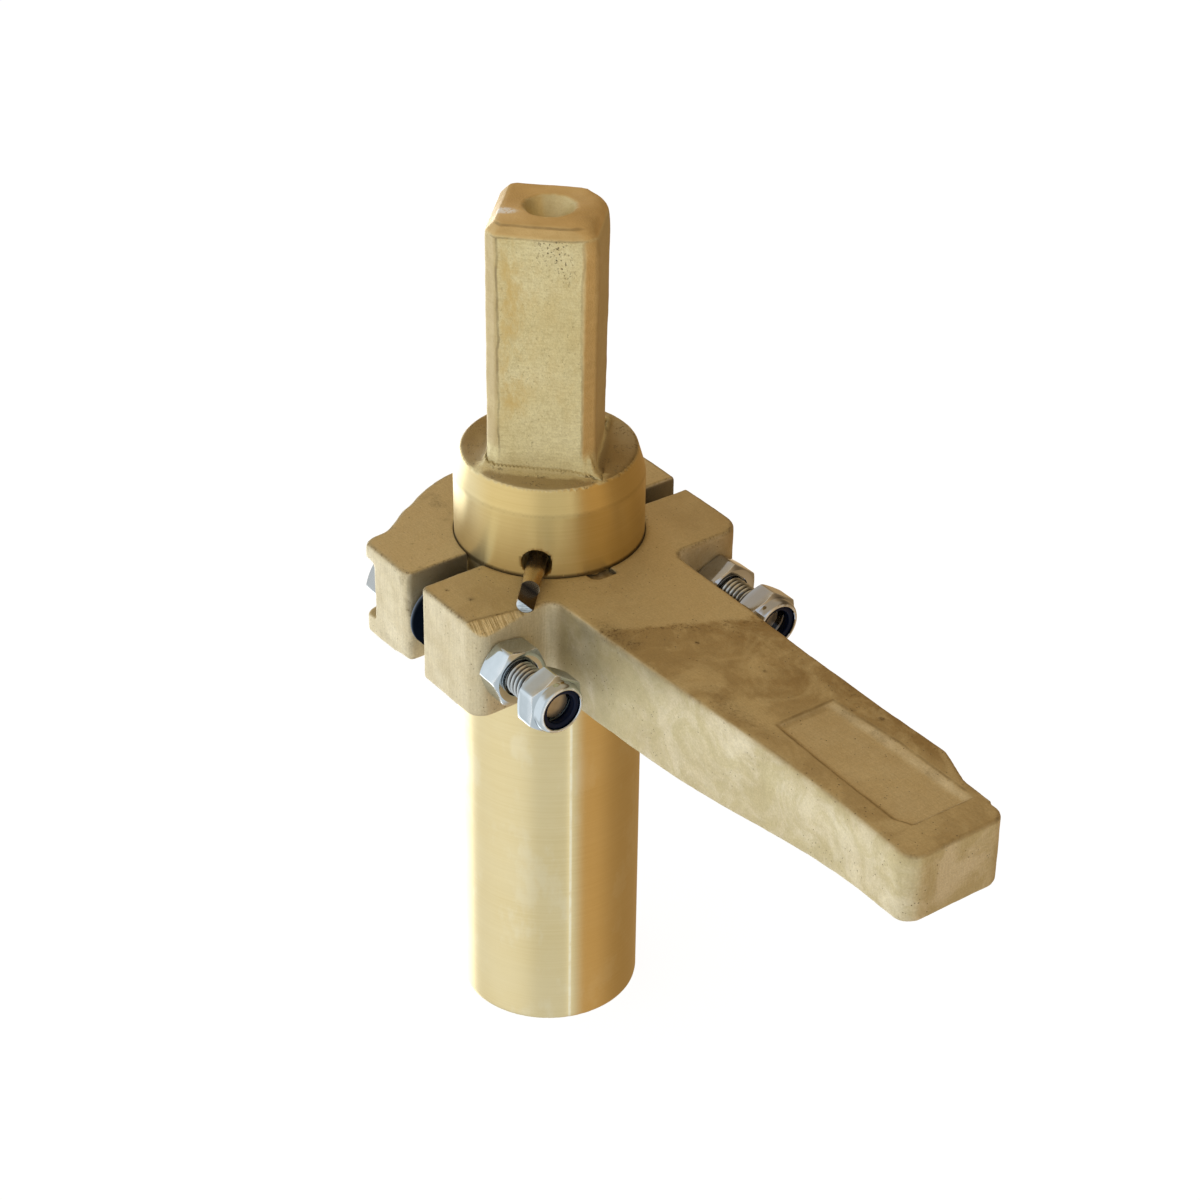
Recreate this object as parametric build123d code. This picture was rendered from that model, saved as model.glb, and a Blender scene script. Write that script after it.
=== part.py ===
from build123d import *
import os
from math import sin, cos, tan, radians, sqrt

os.makedirs("parts", exist_ok=True)

# ---------------------------------------------------------------------------
# Head of a rudder stock with its split, two-bolt tiller arm. Millimetres.
# Row frame: origin at the centre of the stock's lower end, +Z up the stock,
# +X along the arm. Everything is drawn with z = 0 at the clamp's top faces and
# lifted by Z_CLAMP when it is written.
# ---------------------------------------------------------------------------
Z_CLAMP = 130.0        # clamp's top faces above the stock's lower end

# rudder stock
STOCK_R = 22.0         # turned journal and shoulder
SEAT_R = 21.7          # seat under the clamp, a shallow turned step
SEAT_LOW = -24.5
SHOULDER_Z = 15.5      # where the cylinder ends
DISC_R = 20.2          # rim of the as-cast disc under the square head
DISC_Z = 21.8
HEAD_HALF = 12.5       # half the square head's width
HEAD_TOP = 81.0
HEAD_CHAMFER = 2.2     # filed top edges
HEAD_CORNER = 2.6      # filed vertical corners
HEAD_ROUND = 8.0       # worn back corner
HEAD_FLARE = 1.5       # casting radius where head meets disc
TOP_HOLE_R = 5.75
TOP_HOLE_DEPTH = 14.0
TOP_PILOT_R = 2.5
PIN_HOLE_R = 3.55
PIN_HOLE_Z = 3.5
PIN_HOLE_AZ = -43.1
PIN_HOLE_DEPTH = 14.0

# key and keyways
KEY_W = 6.0
KEY_Y = -2.2
KEY_X0 = 18.0
KEY_X1 = 24.6
KEYWAY_X1 = 24.9

# arm (front half of the clamp)
HUB_H = 24.5           # clamp height at the hub
ARM_PART_X = 4.9       # parting face
LUG_X = 26.0           # lug front faces
LUG_L = -38.5          # left end
LUG_R = 36.5           # right end
ARM_END_X = 143.0
EDGE_R = 1.0           # softened casting edges

# rear half of the clamp
REAR_PART_X = -1.2
REAR_H = 24.0
REAR_R = 34.0
REAR_END_R = 37.5
WEB_X = -15.0          # bolt heads bear here
POCKET_TOP = -3.8
POCKET_LOW = -19.0
POCKET_Y = {-1: 22.7, 1: 20.8}   # inner ends of the bolt-head pockets

# bolts and nuts (M8)
BOLT_Y = {"left": -30.6, "right": 28.6}
BOLT_Z = -12.2
BOLT_R = 4.0
BOLT_HOLE_R = 4.6
BOLT_END_X = 45.0
HEAD_H = 5.3
NUT_AF = 13.0
NUT_H = 6.5
SPACER_R = {"left": 8.0, "right": 6.3}
SPACER_CHAMFER = {"left": 1.2, "right": 0.6}
LOCK_X = {"left": 39.8, "right": 41.2}
LOCK_HEX_H = 5.6
LOCK_H = 8.0

# pin
PIN_R = 2.25
PIN_Z = 2.25
PIN_AZ = -43.6
PIN_IN = 12.0
PIN_OUT = 37.3
PIN_STEP = 30.8        # start of the half-lap tongue
PIN_ROLL = 38.0        # the half-lap's flat, turned about the pin


def write(shape, node):
    """Lift a finished piece into the row frame and write it."""
    s = Pos(0, 0, Z_CLAMP) * shape
    s.label = node
    export_step(s, f"parts/{node}.step")
    print(node, "solids", len(s.solids()), "volume", round(s.volume, 1))


def prism(points, z0, z1):
    """Straight-sided polygon between two heights."""
    return Pos(0, 0, z0) * extrude(make_face(Polyline(*points, close=True)), z1 - z0)


def along_x(shape, x, y, z, roll=0.0):
    """Stand a piece drawn along +Z on the X direction, rolled about it."""
    return Pos(x, y, z) * Rot(roll + 90, 0, 0) * Rot(0, 90, 0) * shape


def tetra(a, b, c, d):
    """Four-cornered solid."""
    p = [Vector(*q) for q in (a, b, c, d)]
    faces = [Face(Wire.make_polygon([p[i], p[j], p[k]]))
             for i, j, k in ((0, 1, 2), (0, 1, 3), (1, 2, 3), (0, 2, 3))]
    return Solid(Shell(faces))


def soften(shape, pick, name):
    """Round a casting's outer edges, as far as they take it."""
    edges = [e for e in shape.edges() if pick(e)]
    for size in (EDGE_R, 0.7 * EDGE_R, 0.4 * EDGE_R):
        try:
            out = fillet(edges, size)
            if out.is_valid and len(out.solids()) == 1:
                print(name, "edges rounded", size, len(edges))
                return out
        except Exception:
            pass
    print(name, "edges left sharp", len(edges))
    return shape


# ---------------------------------------------------------------------------
# rudder stock: one piece, turned below, cast square above
# ---------------------------------------------------------------------------
turned = make_face(Plane.XZ * Polyline(
    (0, -Z_CLAMP), (STOCK_R, -Z_CLAMP), (STOCK_R, SEAT_LOW),
    (SEAT_R, SEAT_LOW), (SEAT_R, 0), (STOCK_R, 0), (STOCK_R, SHOULDER_Z),
    (DISC_R, DISC_Z), (0, DISC_Z), close=True))
stock = revolve(turned, Axis.Z, 360)

h = HEAD_HALF
r = HEAD_ROUND
c = HEAD_CORNER
# plan of the head: u to the right of the front face, v out of it
front = [(-h, h - c), (-h + c, h), (h - c, h), (h, h - c)]
plan = (
    Line(front[0], front[1])
    + Line(front[1], front[2])
    + Line(front[2], front[3])
    + Line(front[3], (h, -h + r))
    + CenterArc((h - r, -h + r), r, 0, -90)
    + Line((h - r, -h), (-h + 3.5, -h))
    + CenterArc((-h + 3.5, -h + 3.5), 3.5, 180, 90)
    + Line((-h, -h + 3.5), front[0])
)
# u runs along azimuth +45, v along -45: the plan is drawn in a left-handed
# pair, so it is mirrored across u before it is turned
head = extrude(make_face(plan), HEAD_TOP - DISC_Z + 2)
head = mirror(head, Plane.XZ)
head = Pos(0, 0, DISC_Z - 2) * Rot(0, 0, 45) * head
top_edges = [e for e in head.edges()
             if abs(e.center().Z - HEAD_TOP) < 1e-3]
head = chamfer(top_edges, HEAD_CHAMFER)
# the filed vertical corners run out above the disc: the square corner comes
# back as a small stop
s2 = sqrt(0.5)


def uv(u, v, z):
    return ((u + v) * s2, (u - v) * s2, z)


for sgn in (-1, 1):
    base = DISC_Z - 1.9
    stop = tetra(uv(sgn * (h - c), h, base), uv(sgn * h, h - c, base),
                 uv(sgn * h, h, base), uv(sgn * (h - c / 2), h - c / 2, 28.0))
    head = head + stop
stock = stock + head
flare_edges = [e for e in stock.edges()
               if abs(e.center().Z - DISC_Z) < 0.01
               and max(abs(v.X) + abs(v.Y) for v in e.vertices()) < 26
               and e.length < 24.9
               and sqrt(e.center().X ** 2 + e.center().Y ** 2) < DISC_R - 0.3]
try:
    stock = fillet(flare_edges, HEAD_FLARE)
except Exception as err:
    print("flare left sharp:", err)

# lathe centre in the head's top: 60 degree cone and pilot drilling
cone_d = (TOP_HOLE_R - TOP_PILOT_R) * tan(radians(60))
hole = make_face(Plane.XZ * Polyline(
    (0, HEAD_TOP + 1), (TOP_HOLE_R + 1 / tan(radians(60)), HEAD_TOP + 1),
    (TOP_PILOT_R, HEAD_TOP - cone_d),
    (TOP_PILOT_R, HEAD_TOP - TOP_HOLE_DEPTH),
    (0, HEAD_TOP - TOP_HOLE_DEPTH - TOP_PILOT_R * tan(radians(31))), close=True))
stock = stock - revolve(hole, Axis.Z, 360)

# radial hole for the pin
drill = make_face(Plane.XZ * Polyline(
    (0, 0), (PIN_HOLE_R, 0), (PIN_HOLE_R, PIN_HOLE_DEPTH + 3),
    (0, PIN_HOLE_DEPTH + 3 + PIN_HOLE_R * tan(radians(31))), close=True))
drill = revolve(drill, Axis.Z, 360)
d0 = STOCK_R + 3
drill = (Rot(0, 0, PIN_HOLE_AZ) * Pos(d0, 0, PIN_HOLE_Z)
         * Rot(0, -90, 0) * drill)
stock = stock - drill

# closed keyway behind the clamp
slot = Pos((KEY_X0 + STOCK_R + 4) / 2, KEY_Y, -12.75) * Box(
    STOCK_R + 4 - KEY_X0, KEY_W, 23.5)
stock = stock - slot
write(stock, "rudder_stock")

# ---------------------------------------------------------------------------
# key
# ---------------------------------------------------------------------------
key = Pos((KEY_X0 + KEY_X1) / 2, KEY_Y, -12.85) * Box(KEY_X1 - KEY_X0, KEY_W, 23.3)
for y_side, c in ((KEY_Y + KEY_W / 2, 0.4), (KEY_Y - KEY_W / 2, 2.0)):
    key = chamfer([e for e in key.edges() if abs(e.center().X - KEY_X1) < 1e-3
                   and abs(e.center().Y - y_side) < 1e-3
                   and abs(e.tangent_at(0).Z) > 0.9], c)
write(key, "stock_key")

# ---------------------------------------------------------------------------
# tiller arm: front half of the clamp and the arm, one casting
# ---------------------------------------------------------------------------
near = [(26, -17.65), (43, -17.05), (76.4, -15.65), (108, -14.35),
        (123.5, -14.5), (143, -15.6)]
far = [(119.2, 15.3), (99, 15.05), (66, 15.6), (26, 16.4)]
neck = [(130, 11.0), (ARM_END_X, 10.5)]

hub = prism([(ARM_PART_X, LUG_L), (LUG_X, LUG_L), (LUG_X, LUG_R),
             (ARM_PART_X, LUG_R)], -HUB_H, 0)
limb_plan = make_face(
    Spline(*near)
    + Line(near[-1], (ARM_END_X, 10.5))
    + Line((ARM_END_X, 10.5), neck[0])
    + Line(neck[0], far[0])
    + Spline(*far)
    + Line(far[-1], (LUG_X - 6, 16.5))
    + Line((LUG_X - 6, 16.5), (LUG_X - 6, -17.9))
    + Line((LUG_X - 6, -17.9), near[0]))
limb = Pos(0, 0, -HUB_H) * extrude(limb_plan, HUB_H)
relief = make_face(Plane.XZ * (
    Spline((50, -HUB_H), (77, -23.4), (98, -21.0), (123, -18.0),
           (ARM_END_X + 5, -16.4), tangents=[(1, 0), (1, 0.1)])
    + Polyline((ARM_END_X + 5, -16.4), (ARM_END_X + 5, -HUB_H - 5),
               (50, -HUB_H - 5), (50, -HUB_H))))
relief = extrude(relief, 60, both=True)
limb = limb - relief

# softened outer corners before the two are joined
hub = fillet([e for e in hub.edges() if abs(e.tangent_at(0).Z) > 0.9
              and e.center().X > 20 and e.center().Y > 0], 5.5)
hub = fillet([e for e in hub.edges() if abs(e.tangent_at(0).Z) > 0.9
              and e.center().X > 20 and e.center().Y < -30], 4.0)
limb = fillet([e for e in limb.edges() if abs(e.tangent_at(0).Z) > 0.9
               and e.center().X > ARM_END_X - 1], 4.0)
arm = hub + limb
# filed chamfer on the left lug's top front edge, widening to the corner
wedge = tetra((26.001, -19.7, 0.02), (22.4, -39.1, 0.02), (27.5, -39.1, 0.02),
              (27.5, -39.1, -5.6))
# inside corners between lugs and limb
inner = [e for e in arm.edges() if abs(e.tangent_at(0).Z) > 0.9
         and abs(e.center().X - LUG_X) < 0.6 and abs(e.center().Y) < 19]
arm = fillet(inner, 3.0)
arm = soften(arm, lambda e: e.center().X > ARM_PART_X + 0.1
             and (abs(e.center().Z) < 1e-3 or abs(e.center().Z + HUB_H) < 1e-3)
             and not (abs(e.center().X - 50) < 0.5), "arm")
# bore, keyway, bolt holes
arm = arm - Pos(0, 0, -HUB_H / 2) * Cylinder(SEAT_R, HUB_H + 4)
way = Pos((KEYWAY_X1 + 10) / 2, KEY_Y, -HUB_H / 2) * Box(
    KEYWAY_X1 - 10, KEY_W, HUB_H + 4)
way = fillet([e for e in way.edges() if abs(e.center().X - KEYWAY_X1) < 1e-3
              and abs(e.center().Y - (KEY_Y - KEY_W / 2)) < 1e-3
              and abs(e.tangent_at(0).Z) > 0.9], 1.8)
arm = arm - way
for side in ("left", "right"):
    arm = arm - along_x(Cylinder(BOLT_HOLE_R, 60), 20, BOLT_Y[side], BOLT_Z)
arm = arm - wedge

# recessed panel on the arm's top, floor 1 mm down, sloped sides
panel_top = [(91.6, -7.8), (99, -8.1), (116, -8.9), (130.5, -9.1),
             (134.2, -7.2), (134.6, 9.0), (112, 9.2), (91.6, 8.0)]
panel_low = [(92.6, -6.9), (99, -7.2), (116, -8.0), (130.2, -8.2),
             (133.2, -6.6), (133.4, 6.8), (112, 6.6), (92.6, 6.2)]
upper = Pos(0, 0, 0.0) * make_face(Polyline(*panel_top, close=True))
lower = Pos(0, 0, -1.0) * make_face(Polyline(*panel_low, close=True))
recess = loft([lower.face(), upper.face()])
arm = arm - recess
write(arm, "tiller_arm")

# ---------------------------------------------------------------------------
# rear half of the clamp
# ---------------------------------------------------------------------------
lug_l = [(-1.2, -38.5), (-18.2, -38.5), (-19.3, -37.4), (-20.0, -35.6),
         (-20.5, -31.8), (-21.9, -29.2), (-23.5, -26.8), (-25.6, -24.0),
         (-28.6, -18.4)]
right = [(-28.6, 18.4), (-25.6, 24.0), (-23.5, 26.8), (-21.9, 29.2),
         (-20.5, 31.8), (-20.0, 34.6), (-19.3, 36.4), (-18.2, REAR_END_R),
         (-1.2, REAR_END_R)]
outline = (
    Polyline(*lug_l[:4])
    + Spline(*lug_l[3:], tangents=[(-0.1, 1), (-0.55, 0.835)])
    + ThreePointArc((-28.6, -18.4), (-REAR_R, 0), (-28.6, 18.4))
    + Spline(*right[:6], tangents=[(0.55, 0.835), (0.1, 1)])
    + Polyline(*right[5:])
    + Line((-1.2, REAR_END_R), (-1.2, -38.5))
)
rear = Pos(0, 0, -REAR_H) * extrude(make_face(outline), REAR_H)
rear = soften(rear, lambda e: e.center().X < REAR_PART_X - 0.1
              and (abs(e.center().Z) < 1e-3 or abs(e.center().Z + REAR_H) < 1e-3),
              "rear clamp")
rear = rear - Pos(0, 0, -REAR_H / 2) * Cylinder(SEAT_R, REAR_H + 4)
zc = (POCKET_TOP + POCKET_LOW) / 2
ph = POCKET_TOP - POCKET_LOW
for sgn in (-1, 1):
    pocket = Pos(WEB_X - 20, sgn * (POCKET_Y[sgn] + 15), zc) * Box(40, 30, ph)
    top_in = [e for e in pocket.edges()
              if abs(e.center().X - WEB_X) < 1e-3
              and abs(e.center().Z - POCKET_TOP) < 1e-3]
    pocket = fillet(top_in, 1.6)
    rear = rear - pocket
for side in ("left", "right"):
    rear = rear - along_x(Cylinder(BOLT_HOLE_R, 60), -10, BOLT_Y[side], BOLT_Z)
write(rear, "rear_clamp")


# ---------------------------------------------------------------------------
# fasteners
# ---------------------------------------------------------------------------
def hexagon(h_mm, roll, low=True, high=True):
    """Hex body of NUT_AF across flats with turned 30 degree corners."""
    rc = NUT_AF / 2 / cos(radians(30))
    body = extrude(Rot(0, 0, roll) * RegularPolygon(NUT_AF / 2, 6, major_radius=False), h_mm)
    b = (rc - 6.15) * tan(radians(30))
    pts = [(0, 0)]
    pts += [(6.15, 0), (rc + 0.01, b)] if low else [(rc + 0.01, 0)]
    pts += [(rc + 0.01, h_mm - b), (6.15, h_mm)] if high else [(rc + 0.01, h_mm)]
    pts += [(0, h_mm)]
    turned_ = revolve(make_face(Plane.XZ * Polyline(*pts, close=True)), Axis.Z, 360)
    return body & turned_


def ring(r_in, r_out, z0, z1):
    return Pos(0, 0, (z0 + z1) / 2) * (Cylinder(r_out, z1 - z0) - Cylinder(r_in, z1 - z0 + 2))


# hex corners are turned as the photo shows them; a piece drawn along +Z is
# stood on +X, and the roll is counted from +Y towards +Z
ROLL = {"bolt": {"left": 2.0, "right": 2.0},
        "nut": {"left": -8.0, "right": 22.0},
        "lock": {"left": 26.0, "right": 26.0}}

for side in ("left", "right"):
    y = BOLT_Y[side]

    # bolt: head in the rear half's pocket, shank through both halves
    shank = Cylinder(BOLT_R, BOLT_END_X - WEB_X)
    shank = Pos(0, 0, (BOLT_END_X - WEB_X) / 2) * shank
    shank = chamfer([e for e in shank.edges()
                     if abs(e.center().Z - (BOLT_END_X - WEB_X)) < 1e-3], 0.8)
    bolt = shank + Pos(0, 0, -HEAD_H) * hexagon(HEAD_H, 0, low=True, high=False)
    write(along_x(bolt, WEB_X, y, BOLT_Z, ROLL["bolt"][side]), f"clamp_bolt_{side}")

    # spacer in the gap between the halves; the right-hand bolt stands nearer
    # the stock, so its spacer is slimmer
    length = ARM_PART_X - REAR_PART_X
    sr, sc = SPACER_R[side], SPACER_CHAMFER[side]
    spacer = revolve(make_face(Plane.XZ * Polyline(
        (BOLT_R + 0.2, 0), (sr - sc, 0), (sr, sc), (sr, length - 0.3),
        (sr - 0.3, length), (BOLT_R + 0.2, length), close=True)), Axis.Z, 360)
    write(along_x(spacer, REAR_PART_X, y, BOLT_Z), f"gap_spacer_{side}")

    # plain nut on the lug
    nut = hexagon(NUT_H, 0) - Cylinder(BOLT_R, 30)
    write(along_x(nut, LUG_X, y, BOLT_Z, ROLL["nut"][side]), f"clamp_nut_{side}")

    # locknut: hex body, round collar, crimped rim over a nylon ring
    body = hexagon(LOCK_HEX_H, 0)
    collar_pts = [(0, LOCK_HEX_H - 0.6), (6.3, LOCK_HEX_H - 0.6),
                  (6.2, LOCK_HEX_H + 0.9), (5.9, LOCK_H - 0.5),
                  (5.4, LOCK_H), (4.7, LOCK_H), (0, LOCK_H)]
    collar = revolve(make_face(Plane.XZ * Polyline(*collar_pts, close=True)), Axis.Z, 360)
    lock = body + collar
    lock = lock - Cylinder(BOLT_R, 40)
    # seat for the ring, its mouth narrowed by the crimp
    lock = lock - Pos(0, 0, (LOCK_HEX_H + LOCK_H - 0.5) / 2 - 0.2) * Cylinder(
        5.2, LOCK_H - 0.5 - LOCK_HEX_H + 0.4)
    lock = lock - Pos(0, 0, LOCK_H) * Cylinder(4.75, 2)
    write(along_x(lock, LOCK_X[side], y, BOLT_Z, ROLL["lock"][side]),
          f"lock_nut_{side}")
    insert = ring(BOLT_R, 5.2, LOCK_HEX_H - 0.4, LOCK_H - 0.5)
    write(along_x(insert, LOCK_X[side], y, BOLT_Z), f"lock_insert_{side}")

# ---------------------------------------------------------------------------
# retaining pin with a half-lap end
# ---------------------------------------------------------------------------
pin = Pos(0, 0, (PIN_IN + PIN_OUT) / 2) * Cylinder(PIN_R, PIN_OUT - PIN_IN)
pin = chamfer([e for e in pin.edges() if abs(e.center().Z - PIN_IN) < 1e-3], 0.5)
# remove the upper half of the tongue; local +X is "up" before the roll
cut = Pos(5, 0, (PIN_STEP + PIN_OUT + 2) / 2) * Box(10, 10, PIN_OUT + 2 - PIN_STEP)
pin = pin - cut
# drawn along +Z with local +X up: laid along +X, then local +X becomes -Z,
# so the half is turned over and rolled towards the viewer's right
pin = Rot(180 - PIN_ROLL, 0, 0) * Rot(0, 90, 0) * pin
pin = Rot(0, 0, PIN_AZ) * Pos(0, 0, PIN_Z) * pin
write(pin, "retaining_pin")
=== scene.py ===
import math

import bpy
import numpy as np
from mathutils import Matrix, Vector, noise


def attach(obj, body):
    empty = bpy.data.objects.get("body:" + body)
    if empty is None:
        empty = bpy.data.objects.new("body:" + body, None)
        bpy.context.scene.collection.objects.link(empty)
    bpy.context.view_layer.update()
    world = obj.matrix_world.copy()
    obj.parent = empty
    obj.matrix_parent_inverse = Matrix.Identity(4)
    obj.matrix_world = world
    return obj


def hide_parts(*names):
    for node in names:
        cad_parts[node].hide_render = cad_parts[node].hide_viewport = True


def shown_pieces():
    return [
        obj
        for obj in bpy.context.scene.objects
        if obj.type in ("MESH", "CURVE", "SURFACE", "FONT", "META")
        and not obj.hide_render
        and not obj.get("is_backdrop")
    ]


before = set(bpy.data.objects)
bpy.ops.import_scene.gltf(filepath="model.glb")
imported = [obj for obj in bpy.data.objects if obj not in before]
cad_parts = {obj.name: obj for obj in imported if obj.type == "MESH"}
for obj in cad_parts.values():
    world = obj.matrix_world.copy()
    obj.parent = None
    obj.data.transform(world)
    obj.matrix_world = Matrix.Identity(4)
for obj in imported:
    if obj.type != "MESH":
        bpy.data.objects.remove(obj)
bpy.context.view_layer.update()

# Everything below is drawn in millimetres with z = 0 at the clamp's top faces
# and lifted by ZC when it becomes a mesh in the row frame.
ZC = 130.0
MM = 0.001
scene = bpy.context.scene


# ---------------------------------------------------------------------------
# camera
# ---------------------------------------------------------------------------
cam_data = bpy.data.cameras.new("camera")
cam = bpy.data.objects.new("camera", cam_data)
scene.collection.objects.link(cam)
right = Vector((0.592972, 0.80515426, 0.01052756))
down = Vector((0.44201852, -0.31454962, -0.84004652))
ahead = Vector((-0.67305559, 0.50277745, -0.54241221))
place = Vector((468.13549, -334.86883, 351.44175 + ZC)) * MM
m = Matrix.Identity(4)
for i in range(3):
    m[i][0], m[i][1], m[i][2], m[i][3] = right[i], -down[i], -ahead[i], place[i]
cam.matrix_world = m
cam_data.sensor_width = 36.0
cam_data.sensor_fit = "HORIZONTAL"
cam_data.lens = 2924.577 / 1200 * 36
cam_data.clip_start, cam_data.clip_end = 0.02, 50
scene.camera = cam


# ---------------------------------------------------------------------------
# mesh helpers
# ---------------------------------------------------------------------------
def make_object(name, verts_mm, faces, smooth_angle=30.0):
    """Object from points in the clamp frame, millimetres."""
    v = np.asarray(verts_mm, float).copy()
    v[:, 2] += ZC
    me = bpy.data.meshes.new(name)
    me.from_pydata((v * MM).tolist(), [], faces)
    me.update()
    me.validate()
    for p in me.polygons:
        p.use_smooth = True
    if smooth_angle:
        me.set_sharp_from_angle(angle=math.radians(smooth_angle))
    o = bpy.data.objects.new(name, me)
    scene.collection.objects.link(o)
    return o


def get_co(me):
    a = np.zeros(len(me.vertices) * 3)
    me.vertices.foreach_get("co", a)
    a = a.reshape(-1, 3) / MM
    a[:, 2] -= ZC
    return a


def set_co(me, a):
    b = a.copy()
    b[:, 2] += ZC
    me.vertices.foreach_set("co", (b * MM).ravel())
    me.update()


def get_no(me):
    a = np.zeros(len(me.vertices) * 3)
    me.vertex_normals.foreach_get("vector", a)
    return a.reshape(-1, 3)


def set_attr(me, name, values):
    at = me.attributes.new(name, "FLOAT", "POINT")
    at.data.foreach_set("value", np.asarray(values, np.float32))


def nz(points, scale, seed, octaves=3):
    """Smooth noise, about -1 to 1, at each point (mm)."""
    off = Vector((seed * 17.13, seed * 5.71, seed * 31.9))
    out = np.empty(len(points))
    for i, p in enumerate(points):
        out[i] = noise.fractal(Vector(p) / scale + off, 1.0, 2.0, octaves)
    return out


def step(x, a, b):
    t = np.clip((x - a) / (b - a), 0, 1)
    return t * t * (3 - 2 * t)


def remeshed(node, name, voxel, smooth=2, after=1, factor=0.35):
    """Even, closed quad mesh of a CAD node: drawn back onto its faces, edges worn a little."""
    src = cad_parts[node]
    tmp = bpy.data.objects.new("tmp", src.data.copy())
    aim = bpy.data.objects.new("aim", src.data.copy())
    scene.collection.objects.link(tmp)
    scene.collection.objects.link(aim)
    md = tmp.modifiers.new("remesh", "REMESH")
    md.mode = "VOXEL"
    md.voxel_size = voxel * MM
    md.adaptivity = 0.0
    sm = tmp.modifiers.new("smooth", "SMOOTH")
    sm.factor = 0.5
    sm.iterations = smooth
    sw = tmp.modifiers.new("wrap", "SHRINKWRAP")
    sw.target = aim
    sw.wrap_method = "NEAREST_SURFACEPOINT"
    sm = tmp.modifiers.new("wear", "SMOOTH")
    sm.factor = factor
    sm.iterations = after
    dg = bpy.context.evaluated_depsgraph_get()
    me = bpy.data.meshes.new_from_object(tmp.evaluated_get(dg))
    bpy.data.objects.remove(tmp)
    bpy.data.objects.remove(aim)
    me.name = name
    me.materials.clear()
    for at in [a.name for a in me.attributes if a.name in ("sharp_face", "sharp_edge", "custom_normal")]:
        me.attributes.remove(me.attributes[at])
    for p in me.polygons:
        p.use_smooth = True
    o = bpy.data.objects.new(name, me)
    scene.collection.objects.link(o)
    return o


def hand_over(o, nodes):
    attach(o, "root")
    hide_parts(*nodes)
    return o


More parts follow.
